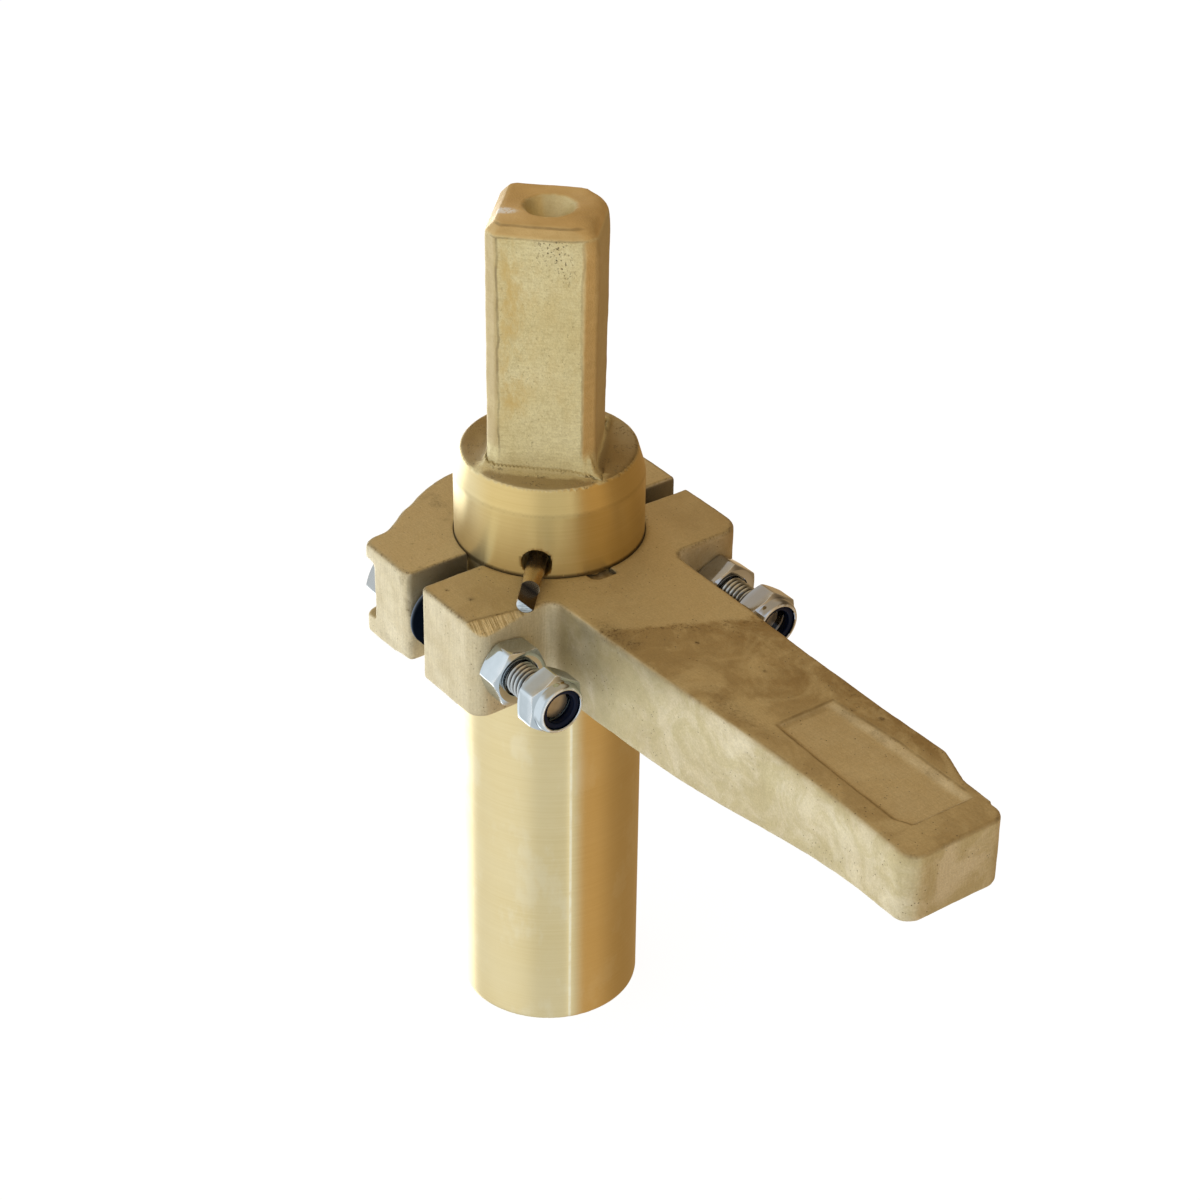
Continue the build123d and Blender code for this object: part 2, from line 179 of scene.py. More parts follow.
# ---------------------------------------------------------------------------
# node helpers
# ---------------------------------------------------------------------------
class Mat:
    def __init__(self, name):
        self.m = bpy.data.materials.new(name)
        self.m.use_nodes = True
        self.t = self.m.node_tree
        self.t.nodes.clear()
        self.out = self.t.nodes.new("ShaderNodeOutputMaterial")
        self.p = self.t.nodes.new("ShaderNodeBsdfPrincipled")
        self.link(self.p.outputs[0], self.out.inputs[0])
        tc = self.t.nodes.new("ShaderNodeTexCoord")
        mp = self.t.nodes.new("ShaderNodeMapping")
        mp.inputs["Scale"].default_value = (1000, 1000, 1000)
        mp.inputs["Location"].default_value = (0, 0, -ZC)
        self.link(tc.outputs["Object"], mp.inputs["Vector"])
        self.mm = mp.outputs[0]
        self._sep = None

    def link(self, a, b):
        self.t.links.new(a, b)

    def new(self, kind, **kw):
        n = self.t.nodes.new(kind)
        for k, v in kw.items():
            setattr(n, k, v)
        return n

    def feed(self, socket, value):
        if isinstance(value, (int, float)):
            if socket.type == "RGBA":
                value = (value, value, value, 1.0)
            socket.default_value = value
        elif isinstance(value, (tuple, list)):
            v = tuple(value)
            if len(socket.default_value) == 4 and len(v) == 3:
                v = v + (1.0,)
            socket.default_value = v
        else:
            self.link(value, socket)

    def scaled(self, sx, sy, sz, loc=(0, 0, 0)):
        n = self.new("ShaderNodeMapping")
        self.link(self.mm, n.inputs["Vector"])
        n.inputs["Scale"].default_value = (sx, sy, sz)
        n.inputs["Location"].default_value = loc
        return n.outputs[0]

    def noise(self, scale, detail=4, rough=0.5, vec=None, dist=0.0):
        n = self.new("ShaderNodeTexNoise")
        self.feed(n.inputs["Vector"], vec or self.mm)
        n.inputs["Scale"].default_value = scale
        n.inputs["Detail"].default_value = detail
        n.inputs["Roughness"].default_value = rough
        n.inputs["Distortion"].default_value = dist
        return n.outputs[0]

    def voronoi(self, scale, vec=None, feature="F1", rnd=1.0):
        n = self.new("ShaderNodeTexVoronoi")
        n.feature = feature
        self.feed(n.inputs["Vector"], vec or self.mm)
        n.inputs["Scale"].default_value = scale
        n.inputs["Randomness"].default_value = rnd
        return n.outputs[0]

    def ramp(self, value, stops):
        n = self.new("ShaderNodeValToRGB")
        self.feed(n.inputs[0], value)
        e = n.color_ramp.elements
        while len(e) > 1:
            e.remove(e[-1])
        e[0].position = stops[0][0]
        e[0].color = tuple(stops[0][1]) + (1,) if isinstance(stops[0][1], (tuple, list)) else (stops[0][1],) * 3 + (1,)
        for pos, col in stops[1:]:
            k = e.new(pos)
            k.color = tuple(col) + (1,) if isinstance(col, (tuple, list)) else (col,) * 3 + (1,)
        return n.outputs[0]

    def remap(self, value, a, b, c=0.0, d=1.0, smooth=True):
        n = self.new("ShaderNodeMapRange")
        if smooth:
            n.interpolation_type = "SMOOTHSTEP"
        self.feed(n.inputs[0], value)
        for i, x in zip((1, 2, 3, 4), (a, b, c, d)):
            self.feed(n.inputs[i], x)
        return n.outputs[0]

    def math(self, op, a, b=0.0, clamp=False):
        n = self.new("ShaderNodeMath", operation=op, use_clamp=clamp)
        self.feed(n.inputs[0], a)
        self.feed(n.inputs[1], b)
        return n.outputs[0]

    def mix(self, fac, a, b, mode="MIX"):
        n = self.new("ShaderNodeMixRGB", blend_type=mode)
        self.feed(n.inputs[0], fac)
        self.feed(n.inputs[1], a)
        self.feed(n.inputs[2], b)
        return n.outputs[0]

    def attr(self, name):
        n = self.new("ShaderNodeAttribute", attribute_name=name)
        return n.outputs["Fac"]

    def axis(self, which):
        if self._sep is None:
            self._sep = self.new("ShaderNodeSeparateXYZ")
            self.link(self.mm, self._sep.inputs[0])
        return self._sep.outputs[which]

    def normal(self, which):
        g = self.new("ShaderNodeNewGeometry")
        s = self.new("ShaderNodeSeparateXYZ")
        self.link(g.outputs["True Normal"], s.inputs[0])
        return s.outputs[which]

    def bumps(self, *layers):
        """Each layer is (height, strength, distance in mm)."""
        last = None
        for height, strength, dist in layers:
            n = self.new("ShaderNodeBump")
            n.inputs["Strength"].default_value = strength
            n.inputs["Distance"].default_value = dist * MM
            self.feed(n.inputs["Height"], height)
            if last is not None:
                self.link(last, n.inputs["Normal"])
            last = n.outputs[0]
        self.link(last, self.p.inputs["Normal"])

    def set(self, **kw):
        names = {"color": "Base Color", "metal": "Metallic", "rough": "Roughness",
                 "spec": "Specular IOR Level", "aniso": "Anisotropic",
                 "coat": "Coat Weight", "coat_rough": "Coat Roughness"}
        for k, v in kw.items():
            self.feed(self.p.inputs[names[k]], v)
        return self


# ---------------------------------------------------------------------------
# materials
# ---------------------------------------------------------------------------
def cast_bronze():
    a = Mat("cast_bronze")
    big = a.noise(0.035, 4, 0.5, dist=0.4)
    mid = a.noise(0.16, 5, 0.6)
    fine = a.noise(1.3, 3, 0.6)
    grain = a.noise(2.1, 3, 0.7)
    weave = a.mix(0.5, a.noise(1.0, 2, 0.6, vec=a.scaled(0.35, 2.4, 0.35)), a.noise(1.0, 2, 0.6, vec=a.scaled(2.4, 0.35, 2.4)))
    col = a.ramp(big, [(0.30, (0.685, 0.600, 0.410)), (0.50, (0.745, 0.660, 0.470)), (0.70, (0.785, 0.705, 0.520))])
    col = a.mix(a.remap(mid, 0.36, 0.72, 0.0, 0.25), col, (0.68, 0.565, 0.33))
    # khaki film along the arm's flanks, in soft clouds
    veil = a.remap(a.noise(0.085, 6, 0.66, dist=0.8), 0.38, 0.60, 0.15, 1.0)
    col = a.mix(a.math("MULTIPLY", a.attr("khaki"), veil), col, a.mix(mid, (0.500, 0.420, 0.205), (0.625, 0.540, 0.310)))
    # painted shade on the arm's flanks at the root by the lugs and along the near side's top, in soft clouds
    smoke = a.remap(a.noise(0.13, 5, 0.6), 0.30, 0.62, 0.55, 1.0)
    col = a.mix(a.math("MULTIPLY", a.attr("smoke"), smoke), col, (0.235, 0.215, 0.145))
    # tan skin on upward faces
    tan_skin = a.attr("tan")
    tan_col = a.mix(mid, (0.545, 0.425, 0.215), (0.650, 0.525, 0.290))
    col = a.mix(tan_skin, col, tan_col)
    # brown patina painted by region in the mesh, with painted shade at the arm's root
    brown = a.mix(a.noise(0.5, 5, 0.7), (0.250, 0.158, 0.052), (0.425, 0.290, 0.118))
    patina = a.attr("patina")
    cloud = a.remap(a.noise(0.085, 6, 0.62, dist=0.5), 0.30, 0.70, 0.35, 1.0)
    col = a.mix(a.math("MULTIPLY", patina, cloud), col, brown)
    # the arm's top beyond the hub: brown clouds with a ragged start
    ragged = a.math("MULTIPLY", a.math("SUBTRACT", a.noise(0.30, 6, 0.7), 0.5), 8.0)
    reach = a.math("ADD", a.math("MULTIPLY", a.math("SUBTRACT", a.attr("line"), 0.5), 24.0), ragged)
    past = a.remap(reach, -0.8, 1.2)
    worn = a.math("MULTIPLY", a.attr("worn"), past)
    drift = a.remap(a.noise(0.055, 6, 0.62, dist=0.9), 0.38, 0.60, 0.10, 1.0)
    col = a.mix(a.math("MULTIPLY", worn, drift), col, brown)
    rubbed = a.remap(a.noise(0.075, 6, 0.65, dist=0.6), 0.50, 0.64, 0.0, 0.45)
    col = a.mix(a.math("MULTIPLY", a.math("MULTIPLY", past, a.attr("topface")), rubbed), col, (0.640, 0.510, 0.270))
    speck = a.remap(a.noise(1.15, 5, 0.75), 0.49, 0.60)
    gate_s = a.remap(a.noise(0.22, 4, 0.6), 0.42, 0.58)
    band = a.math("MULTIPLY", past, a.remap(reach, 1.0, 5.5, 1.0, 0.10))
    band = a.math("MULTIPLY", a.math("MULTIPLY", band, a.attr("topface")), a.math("MULTIPLY", speck, gate_s))
    col = a.mix(a.math("MULTIPLY", band, 0.85), col, (0.150, 0.092, 0.030))
    # the sunk panel's borders: painted shade along the recess edges
    pd = a.math("MULTIPLY", a.math("SUBTRACT", a.attr("pd"), 0.5), 8.0)
    border = a.remap(a.math("ABSOLUTE", pd), 0.08, 0.42, 1.0, 0.0)
    border = a.math("MULTIPLY", border, a.remap(a.noise(0.22, 4, 0.6), 0.36, 0.62, 0.08, 0.55))
    col = a.mix(a.math("MULTIPLY", border, a.attr("panel")), col, (0.165, 0.112, 0.045))
    # painted light on the panel's far bevel, and the paler panel floor
    col = a.mix(a.math("MULTIPLY", a.attr("pale"), a.remap(mid, 0.35, 0.65, 0.35, 0.65)), col, (0.80, 0.68, 0.45))
    # dark stains and specks
    stain = a.attr("stain")
    st = a.math("MULTIPLY", stain, a.math("ADD", a.math("MULTIPLY", speck, 0.65), 0.35), clamp=True)
    col = a.mix(st, col, (0.125, 0.082, 0.033))
    rr = a.math("SQRT", a.math("ADD", a.math("MULTIPLY", a.axis(0), a.axis(0)), a.math("MULTIPLY", a.axis(1), a.axis(1))))
    ring = a.math("MULTIPLY", a.remap(rr, 22.15, 22.42, 1.0, 0.0), a.remap(a.axis(2), -2.6, -1.6))
    shadow = a.math("MAXIMUM", a.attr("shadow"), a.math("MULTIPLY", ring, 0.9))
    col = a.mix(shadow, col, (0.030, 0.020, 0.010))
    pores = a.remap(a.voronoi(0.85), 0.05, 0.15, 1.0, 0.0)
    gate = a.remap(a.noise(0.11, 3, 0.5), 0.47, 0.58)
    pore = a.math("MULTIPLY", pores, gate)
    col = a.mix(a.math("MULTIPLY", pore, 0.9), col, (0.10, 0.068, 0.032))
    filed = a.attr("filed")
    marks = a.remap(a.noise(1.0, 3, 0.6, vec=a.scaled(0.18, 2.3, 0.18)), 0.34, 0.66)
    bright = a.mix(marks, (0.47, 0.345, 0.15), (0.84, 0.67, 0.36))
    col = a.mix(a.math("MULTIPLY", filed, 0.92), col, bright)
    # grain of the sand skin and the fine cross weave of the fettling
    col = a.mix(a.remap(grain, 0.36, 0.66, 0.0, 0.30), col, a.mix(0.5, col, (0.20, 0.15, 0.07)))
    col = a.mix(a.remap(weave, 0.38, 0.62, 0.0, 0.26), col, a.mix(0.5, col, (0.22, 0.17, 0.08)))
    rough = a.remap(mid, 0.3, 0.7, 0.50, 0.62)
    rough = a.math("SUBTRACT", rough, a.math("MULTIPLY", filed, 0.15))
    brush = a.attr("brush")
    lines = a.noise(1.0, 2, 0.5, vec=a.scaled(2.6, 2.6, 0.10))
    col = a.mix(a.math("MULTIPLY", brush, a.remap(lines, 0.35, 0.65, 0.0, 0.22)), col, (0.42, 0.34, 0.20))
    a.set(color=col, metal=0.45, rough=rough, spec=0.35)
    a.bumps((fine, 0.38, 0.24), (grain, 0.45, 0.10), (weave, 0.35, 0.10),
            (a.math("MULTIPLY", lines, brush), 0.25, 0.06), (a.math("MULTIPLY", pore, -1.0), 0.8, 0.3),
            (a.math("MULTIPLY", border, a.math("MULTIPLY", a.attr("panel"), -1.0)), 0.5, 0.2),
            (a.math("MULTIPLY", marks, filed), 0.6, 0.18))
    return a.m


def stock_bronze():
    a = Mat("stock_bronze")
    turned, head, filed, disc = (a.attr(n) for n in ("turned", "head", "filed", "disc"))
    # turned brass: rings of slightly different tone
    rings = a.noise(1.0, 4, 0.65, vec=a.scaled(0.02, 0.02, 2.4))
    rings_fine = a.noise(1.0, 2, 0.6, vec=a.scaled(0.05, 0.05, 7.0))
    cloud = a.noise(0.05, 4, 0.55)
    brass = a.mix(rings, (0.655, 0.53, 0.275), (0.765, 0.645, 0.375))
    brass = a.mix(a.remap(cloud, 0.35, 0.7, 0.0, 0.4), brass, (0.75, 0.655, 0.42))
    # deeper gold on the shoulder: painted reflection of the brown clamp tops below it
    gold_reflection = a.attr("gold")
    brass = a.mix(gold_reflection, brass, a.mix(rings, (0.635, 0.475, 0.195), (0.745, 0.580, 0.270)))
    # a fine pale line down the shaft, a painted highlight, and faint smudges
    aside = a.math("ABSOLUTE", a.math("ADD", a.math("MULTIPLY", a.axis(0), 0.3746), a.math("MULTIPLY", a.axis(1), 0.9272)))
    streak_highlight = a.math("MULTIPLY", a.remap(aside, 0.12, 0.48, 1.0, 0.0), a.remap(a.axis(0), 5.0, 10.0))
    streak_highlight = a.math("MULTIPLY", streak_highlight, a.remap(a.axis(2), -27.0, -22.0, 1.0, 0.0))
    streak_highlight = a.math("MULTIPLY", streak_highlight, a.remap(a.noise(0.6, 3, 0.6, vec=a.scaled(1, 1, 0.6)), 0.30, 0.60, 0.16, 0.42))
    brass = a.mix(streak_highlight, brass, (0.93, 0.97, 0.88))
    smudge = a.remap(a.noise(0.11, 5, 0.62, vec=a.scaled(1, 1, 0.55)), 0.53, 0.66, 0.0, 0.30)
    brass = a.mix(a.math("MULTIPLY", smudge, a.remap(a.axis(2), -30.0, -18.0, 1.0, 0.0)), brass, (0.80, 0.74, 0.56))
    # sand-cast head
    big = a.noise(0.075, 4, 0.5, dist=0.3)
    mid = a.noise(0.5, 5, 0.65)
    cast = a.ramp(big, [(0.3, (0.725, 0.612, 0.318)), (0.5, (0.800, 0.702, 0.402)), (0.7, (0.845, 0.755, 0.462))])
    cast = a.mix(a.remap(mid, 0.40, 0.75, 0.0, 0.30), cast, (0.56, 0.455, 0.205))
    sand = a.noise(2.0, 3, 0.7)
    cast = a.mix(a.remap(sand, 0.36, 0.66, 0.0, 0.25), cast, (0.42, 0.335, 0.155))
    strokes = a.noise(1.0, 3, 0.65, vec=a.scaled(0.35, 0.35, 2.2))
    cast = a.mix(a.remap(strokes, 0.42, 0.66, 0.0, 0.20), cast, (0.40, 0.31, 0.14))
    fleck = a.math("MULTIPLY", a.remap(a.noise(1.25, 3, 0.65), 0.60, 0.67), a.remap(a.noise(0.12, 4, 0.6), 0.42, 0.60, 0.15, 1.0))
    cast = a.mix(a.math("MULTIPLY", fleck, 0.50), cast, (0.25, 0.185, 0.08))
    orange = a.attr("orange")
    cast = a.mix(a.math("MULTIPLY", orange, a.remap(a.noise(0.20, 6, 0.7, vec=a.scaled(1, 1, 0.5)), 0.36, 0.72)),
                 cast, (0.66, 0.485, 0.190))
    gold = a.mix(a.noise(0.3, 4, 0.6, vec=a.scaled(0.6, 0.6, 2.0)), (0.52, 0.355, 0.140), (0.78, 0.575, 0.275))
    brown = a.mix(mid, (0.33, 0.245, 0.118), (0.45, 0.345, 0.182))
    col = a.mix(head, brass, cast)
    col = a.mix(filed, col, gold)
    rad_ = a.math("SQRT", a.math("ADD", a.math("MULTIPLY", a.axis(0), a.axis(0)), a.math("MULTIPLY", a.axis(1), a.axis(1))))
    disc = a.math("MULTIPLY", disc, a.remap(rad_, 19.92, 20.14, 1.0, 0.0))
    col = a.mix(disc, col, brown)
    # thin dark lines where the filed corners meet the cast face
    sway = a.math("MULTIPLY", a.math("SUBTRACT", a.noise(0.10, 3, 0.6), 0.5), 2.2)
    rank = a.math("SUBTRACT", a.axis(0), a.axis(1))
    across = a.math("MULTIPLY", a.math("ADD", a.axis(0), a.axis(1)), 0.70711)
    infront = a.math("MULTIPLY", a.remap(rank, 15.5, 16.6), a.remap(a.axis(2), 23.5, 28.0))
    low_ = a.math("MULTIPLY", infront, a.remap(a.axis(2), 78.3, 78.9, 1.0, 0.0))
    seam_r = a.remap(a.math("ABSOLUTE", a.math("ADD", a.math("SUBTRACT", across, 9.25), sway)), 0.10, 0.40, 1.0, 0.0)
    seam_l = a.remap(a.math("ABSOLUTE", a.math("ADD", a.math("ADD", across, 9.35), sway)), 0.10, 0.40, 1.0, 0.0)
    seam_t = a.remap(a.math("ABSOLUTE", a.math("ADD", a.math("SUBTRACT", a.axis(2), 78.55), a.math("MULTIPLY", sway, 0.6))), 0.06, 0.34, 1.0, 0.0)
    seam_u = a.remap(a.math("ABSOLUTE", a.math("ADD", a.math("SUBTRACT", a.axis(2), 80.62), a.math("MULTIPLY", sway, 0.18))), 0.08, 0.30, 1.0, 0.0)
    seam_r = a.math("MULTIPLY", seam_r, 0.50)
    seams = a.math("MULTIPLY", a.math("MAXIMUM", seam_r, seam_l), low_)
    seams = a.math("MAXIMUM", seams, a.math("MULTIPLY", a.math("MULTIPLY", seam_t, 0.75), infront))
    seams = a.math("MAXIMUM", seams, a.math("MULTIPLY", a.math("MULTIPLY", seam_u, 0.9), a.remap(rank, 12.6, 14.2)))
    seams = a.math("MULTIPLY", seams, a.remap(a.noise(0.14, 3, 0.55), 0.34, 0.62, 0.26, 0.58))
    col = a.mix(a.math("MULTIPLY", seams, a.attr("headside")), col, (0.185, 0.125, 0.060))
    # dark lines, and painted shade at the joint with the clamp
    dirt = a.attr("dirt")
    col = a.mix(dirt, col, (0.13, 0.088, 0.038))
    smear = a.attr("smear")
    torn = a.remap(a.noise(1.2, 4, 0.7), 0.38, 0.46)
    col = a.mix(a.math("MULTIPLY", smear, torn), col, (0.86, 0.90, 0.95))
    pores = a.remap(a.voronoi(0.95), 0.10, 0.24, 1.0, 0.0)
    pores = a.math("MAXIMUM", pores, a.remap(a.noise(1.5, 3, 0.6), 0.60, 0.66))
    pit = a.math("MULTIPLY", pores, a.attr("pitted"))
    col = a.mix(a.math("MULTIPLY", pit, 0.85), col, (0.12, 0.09, 0.05))
    rough = a.mix(turned, 0.52, 0.30)
    rough = a.mix(filed, rough, 0.40)
    rough = a.mix(gold_reflection, rough, 0.38)
    notturned = a.math("SUBTRACT", 1.0, turned)
    a.set(color=col, metal=a.mix(head, 0.97, 0.45), rough=rough, spec=0.4)
    tool = a.noise(1.0, 3, 0.6, vec=a.scaled(0.15, 0.15, 1.6))
    a.bumps((a.math("MULTIPLY", rings, turned), 0.22, 0.03),
            (a.math("MULTIPLY", rings_fine, turned), 0.2, 0.015),
            (a.math("MULTIPLY", mid, notturned), 0.45, 0.28),
            (a.math("MULTIPLY", tool, head), 0.3, 0.12),
            (a.math("MULTIPLY", sand, notturned), 0.55, 0.12),
            (a.math("MULTIPLY", seams, a.math("MULTIPLY", a.attr("headside"), -1.0)), 0.5, 0.2),
            (a.math("MULTIPLY", pit, -1.0), 0.9, 0.5))
    a.set(aniso=0.92)
    a.p.inputs["Anisotropic Rotation"].default_value = 0.25
    tan_ = a.new("ShaderNodeTangent")
    tan_.direction_type = "RADIAL"
    tan_.axis = "Z"
    a.link(tan_.outputs[0], a.p.inputs["Tangent"])
    return a.m


def steel(name, tone=(0.52, 0.585, 0.645), rough=0.06, scratch=1.0):
    a = Mat(name)
    n1 = a.noise(0.5, 3, 0.5)
    n2 = a.noise(3.0, 2, 0.5, vec=a.scaled(0.4, 2.5, 2.5))
    col = a.mix(a.remap(n1, 0.35, 0.7), tone, tuple(c * 0.96 for c in tone))
    # painted highlight: bright lines along the nuts' chamfer edges
    worn = a.math("MULTIPLY", a.attr("edge"), a.remap(a.noise(0.45, 2, 0.5), 0.35, 0.6, 0.35, 1.0))
    col = a.mix(worn, col, (0.80, 0.83, 0.87))
    r = a.mix(worn, a.remap(n1, 0.3, 0.75, rough * 0.9, rough * 1.25), 0.30)
    a.set(color=col, metal=a.remap(worn, 0.0, 1.0, 1.0, 0.45), rough=r)
    a.bumps((n2, 0.05 * scratch, 0.006),)
    return a.m


def thread_steel():
    a = Mat("thread_steel")
    groove = a.attr("groove")
    tip = a.attr("tip")
    n1 = a.noise(0.9, 3, 0.5)
    # painted shade in the thread's grooves and at the run-out inside the nut; a darker tone on the head
    col = a.mix(a.remap(groove, 0.15, 0.85), (0.545, 0.575, 0.60), (0.080, 0.075, 0.066))
    end = a.mix(n1, (0.42, 0.36, 0.28), (0.56, 0.50, 0.42))
    col = a.mix(tip, col, end)
    rough = a.mix(tip, 0.20, 0.42)
    a.set(color=col, metal=0.97, rough=rough)
    a.bumps((a.math("MULTIPLY", n1, tip), 0.25, 0.05),)
    return a.m


def nylon(name="nylon", spec=0.12, rough=(0.34, 0.46), dark=(0.0012, 0.0040, 0.017), light=(0.0028, 0.0080, 0.031)):
    a = Mat(name)
    n1 = a.noise(1.2, 3, 0.5)
    col = a.mix(n1, dark, light)
    # painted highlight: a pale line on the spacer's chamfered rim
    rim_highlight = a.math("POWER", a.attr("rim"), 5.0)
    col = a.mix(a.math("MULTIPLY", rim_highlight, 0.6), col, (0.34, 0.42, 0.56))
    a.set(color=col, metal=0.0, rough=a.remap(n1, 0.3, 0.7, rough[0], rough[1]), spec=spec)
    a.bumps((n1, 0.1, 0.04),)
    return a.m


def pin_steel():
    a = Mat("pin_steel")
    n1 = a.noise(0.8, 5, 0.6)
    n2 = a.noise(4.0, 3, 0.6)
    end = a.attr("cut")
    col = a.mix(n1, (0.36, 0.275, 0.165), (0.52, 0.42, 0.28))
    col = a.mix(a.attr("lap"), col, a.mix(n1, (0.060, 0.052, 0.048), (0.130, 0.115, 0.105)))
    file_ = a.noise(1.0, 3, 0.6, vec=a.scaled(0.6, 0.6, 5.0))
    col = a.mix(end, col, a.mix(a.remap(file_, 0.40, 0.60), (0.38, 0.45, 0.52), (0.68, 0.76, 0.84)))
    a.set(color=col, metal=0.96, rough=a.mix(end, a.remap(n2, 0.3, 0.7, 0.16, 0.30), 0.30))
    a.bumps((n2, 0.2, 0.04), (a.math("MULTIPLY", file_, end), 0.4, 0.06))
    return a.m


def key_steel():
    a = Mat("key_steel")
    n1 = a.noise(0.8, 4, 0.6)
    col = a.mix(n1, (0.34, 0.28, 0.18), (0.62, 0.54, 0.38))
    a.set(color=col, metal=0.9, rough=a.remap(n1, 0.3, 0.7, 0.35, 0.55))
    a.bumps((n1, 0.3, 0.08),)
    return a.m


M_CAST = cast_bronze()
M_STOCK = stock_bronze()
M_STEEL = steel("stainless")
# a darker copy of the stainless for the right-hand nuts: painted shade where the arm shadows them
M_STEEL_SHADED = steel("stainless_dull", (0.45, 0.475, 0.54), 0.075)
M_BOLT = thread_steel()
M_NYLON = nylon()
M_SPACER = nylon("nylon_matt", 0.0, (0.55, 0.70), (0.0018, 0.0030, 0.0062), (0.0034, 0.0054, 0.0105))
M_PIN = pin_steel()
M_KEY = key_steel()

# ---------------------------------------------------------------------------
# rudder stock
# ---------------------------------------------------------------------------
S2 = math.sqrt(0.5)
stock = remeshed("rudder_stock", "stock_surface", 0.63)
me = stock.data
P = get_co(me)
r = np.hypot(P[:, 0], P[:, 1])
az = np.degrees(np.arctan2(P[:, 1], P[:, 0]))
z = P[:, 2]
# pull the turned faces back to their true radii
on_shaft = (np.abs(r - 22.0) < 0.42) & (z < 15.45)
cone_r = 22.0 - (z - 15.5) * 1.8 / 6.3
on_cone = (np.abs(r - cone_r) < 0.40) & (z >= 15.45) & (z < 21.55)
want = np.where(on_cone, cone_r, 22.0)
k = np.where(on_shaft | on_cone, want / np.maximum(r, 1e-6), 1.0)
P[:, 0] *= k
P[:, 1] *= k
u = (P[:, 0] + P[:, 1]) * S2
v = (P[:, 0] - P[:, 1]) * S2
head_zone = step(z, 21.9, 22.6)
disc_zone = (np.abs(z - 21.8) < 0.5) & (r < 19.7)
# the right face leans in a little towards the disc
lean = head_zone * np.where(u > 0, 1, 0) * (1 - step(z, 22, 78)) * 0.045
du = -u * lean
P[:, 0] += du * S2
P[:, 1] += du * S2
# casting flare at the front right corner of the head
d_az = np.abs(az - 0.0)
flare = np.exp(-((d_az / 9.0) ** 2)) * np.clip(1 - (z - 21.9) / 5.2, 0, 1) ** 2 * (z > 21.85) * (r > 14)
P[:, 0] += flare * 2.0
# lower edge and disc rim broken by a small radius
r_ = np.hypot(P[:, 0], P[:, 1])
for rc, zc, rad, sgn, slope in ((21.2, -129.2, 0.8, -1, 0.0), (19.747, 21.2, 0.6, 1, 0.2857)):
    dr, dz = r_ - rc, (P[:, 2] - zc) * sgn
    on_edge = (dr > 0) & (dz > slope * dr) & (dr < 1.3) & (dz < 1.3)
    k = rad / np.maximum(np.hypot(dr, dz), 1e-6)
    new_r = np.where(on_edge, rc + dr * k, r_)
    P[:, 2] = np.where(on_edge, zc + sgn * dz * k, P[:, 2])
    f = new_r / np.maximum(r_, 1e-6)
    P[:, 0] *= f
    P[:, 1] *= f
    r_ = np.hypot(P[:, 0], P[:, 1])
# crisp rim of the pin's hole
ca, sa = math.cos(math.radians(-43.1)), math.sin(math.radians(-43.1))
s_ = -P[:, 0] * sa + P[:, 1] * ca
w_ = P[:, 2] - 3.5
rho = np.hypot(s_, w_)
at_rim = (np.abs(rho - 3.55) < 0.34) & (P[:, 0] * ca + P[:, 1] * sa > 21.2)
k = np.where(at_rim, 3.55 / np.maximum(rho, 1e-6), 1.0)
s_, w_ = s_ * k, w_ * k
out_ = np.sqrt(np.maximum(22.0 ** 2 - s_ ** 2, 0))
P[:, 0] = np.where(at_rim, out_ * ca - s_ * sa, P[:, 0])
P[:, 1] = np.where(at_rim, out_ * sa + s_ * ca, P[:, 1])
P[:, 2] = np.where(at_rim, w_ + 3.5, P[:, 2])
# the head's upper right edges are worn round
edges_ = np.empty(len(me.edges) * 2, np.int64)
me.edges.foreach_get("vertices", edges_)
edges_ = edges_.reshape(-1, 2)
u_ = (P[:, 0] + P[:, 1]) * S2
v_ = (P[:, 0] - P[:, 1]) * S2
near = step(P[:, 2], 74.5, 77.0) * step(u_, 6.8, 8.2) * (np.hypot(P[:, 0], P[:, 1]) > 6.6)
pick = (near[edges_[:, 0]] > 0) | (near[edges_[:, 1]] > 0)
ea, eb = edges_[pick, 0], edges_[pick, 1]
cnt = np.bincount(ea, minlength=len(P)) + np.bincount(eb, minlength=len(P))
for _ in range(26):
    acc = np.zeros_like(P)
    for c_ in range(3):
        acc[:, c_] = np.bincount(ea, P[eb, c_], minlength=len(P)) + np.bincount(eb, P[ea, c_], minlength=len(P))
    mean = acc / np.maximum(cnt, 1)[:, None]
    P += (mean - P) * (near * 0.6 * (cnt > 0))[:, None]
# cast fillet where the head stands on the disc
u_ = (P[:, 0] + P[:, 1]) * S2
v_ = (P[:, 0] - P[:, 1]) * S2
away = np.maximum(np.maximum(-u_, np.abs(v_)) - 12.7, u_ - 12.15)
foot = (np.abs(P[:, 2] - 21.8) < 0.5) & (away > -0.7) & (np.hypot(P[:, 0], P[:, 1]) < 19.6) & (u_ < 12.0)
P[:, 2] += foot * 1.1 * np.exp(-np.maximum(away, 0) / 1.1)
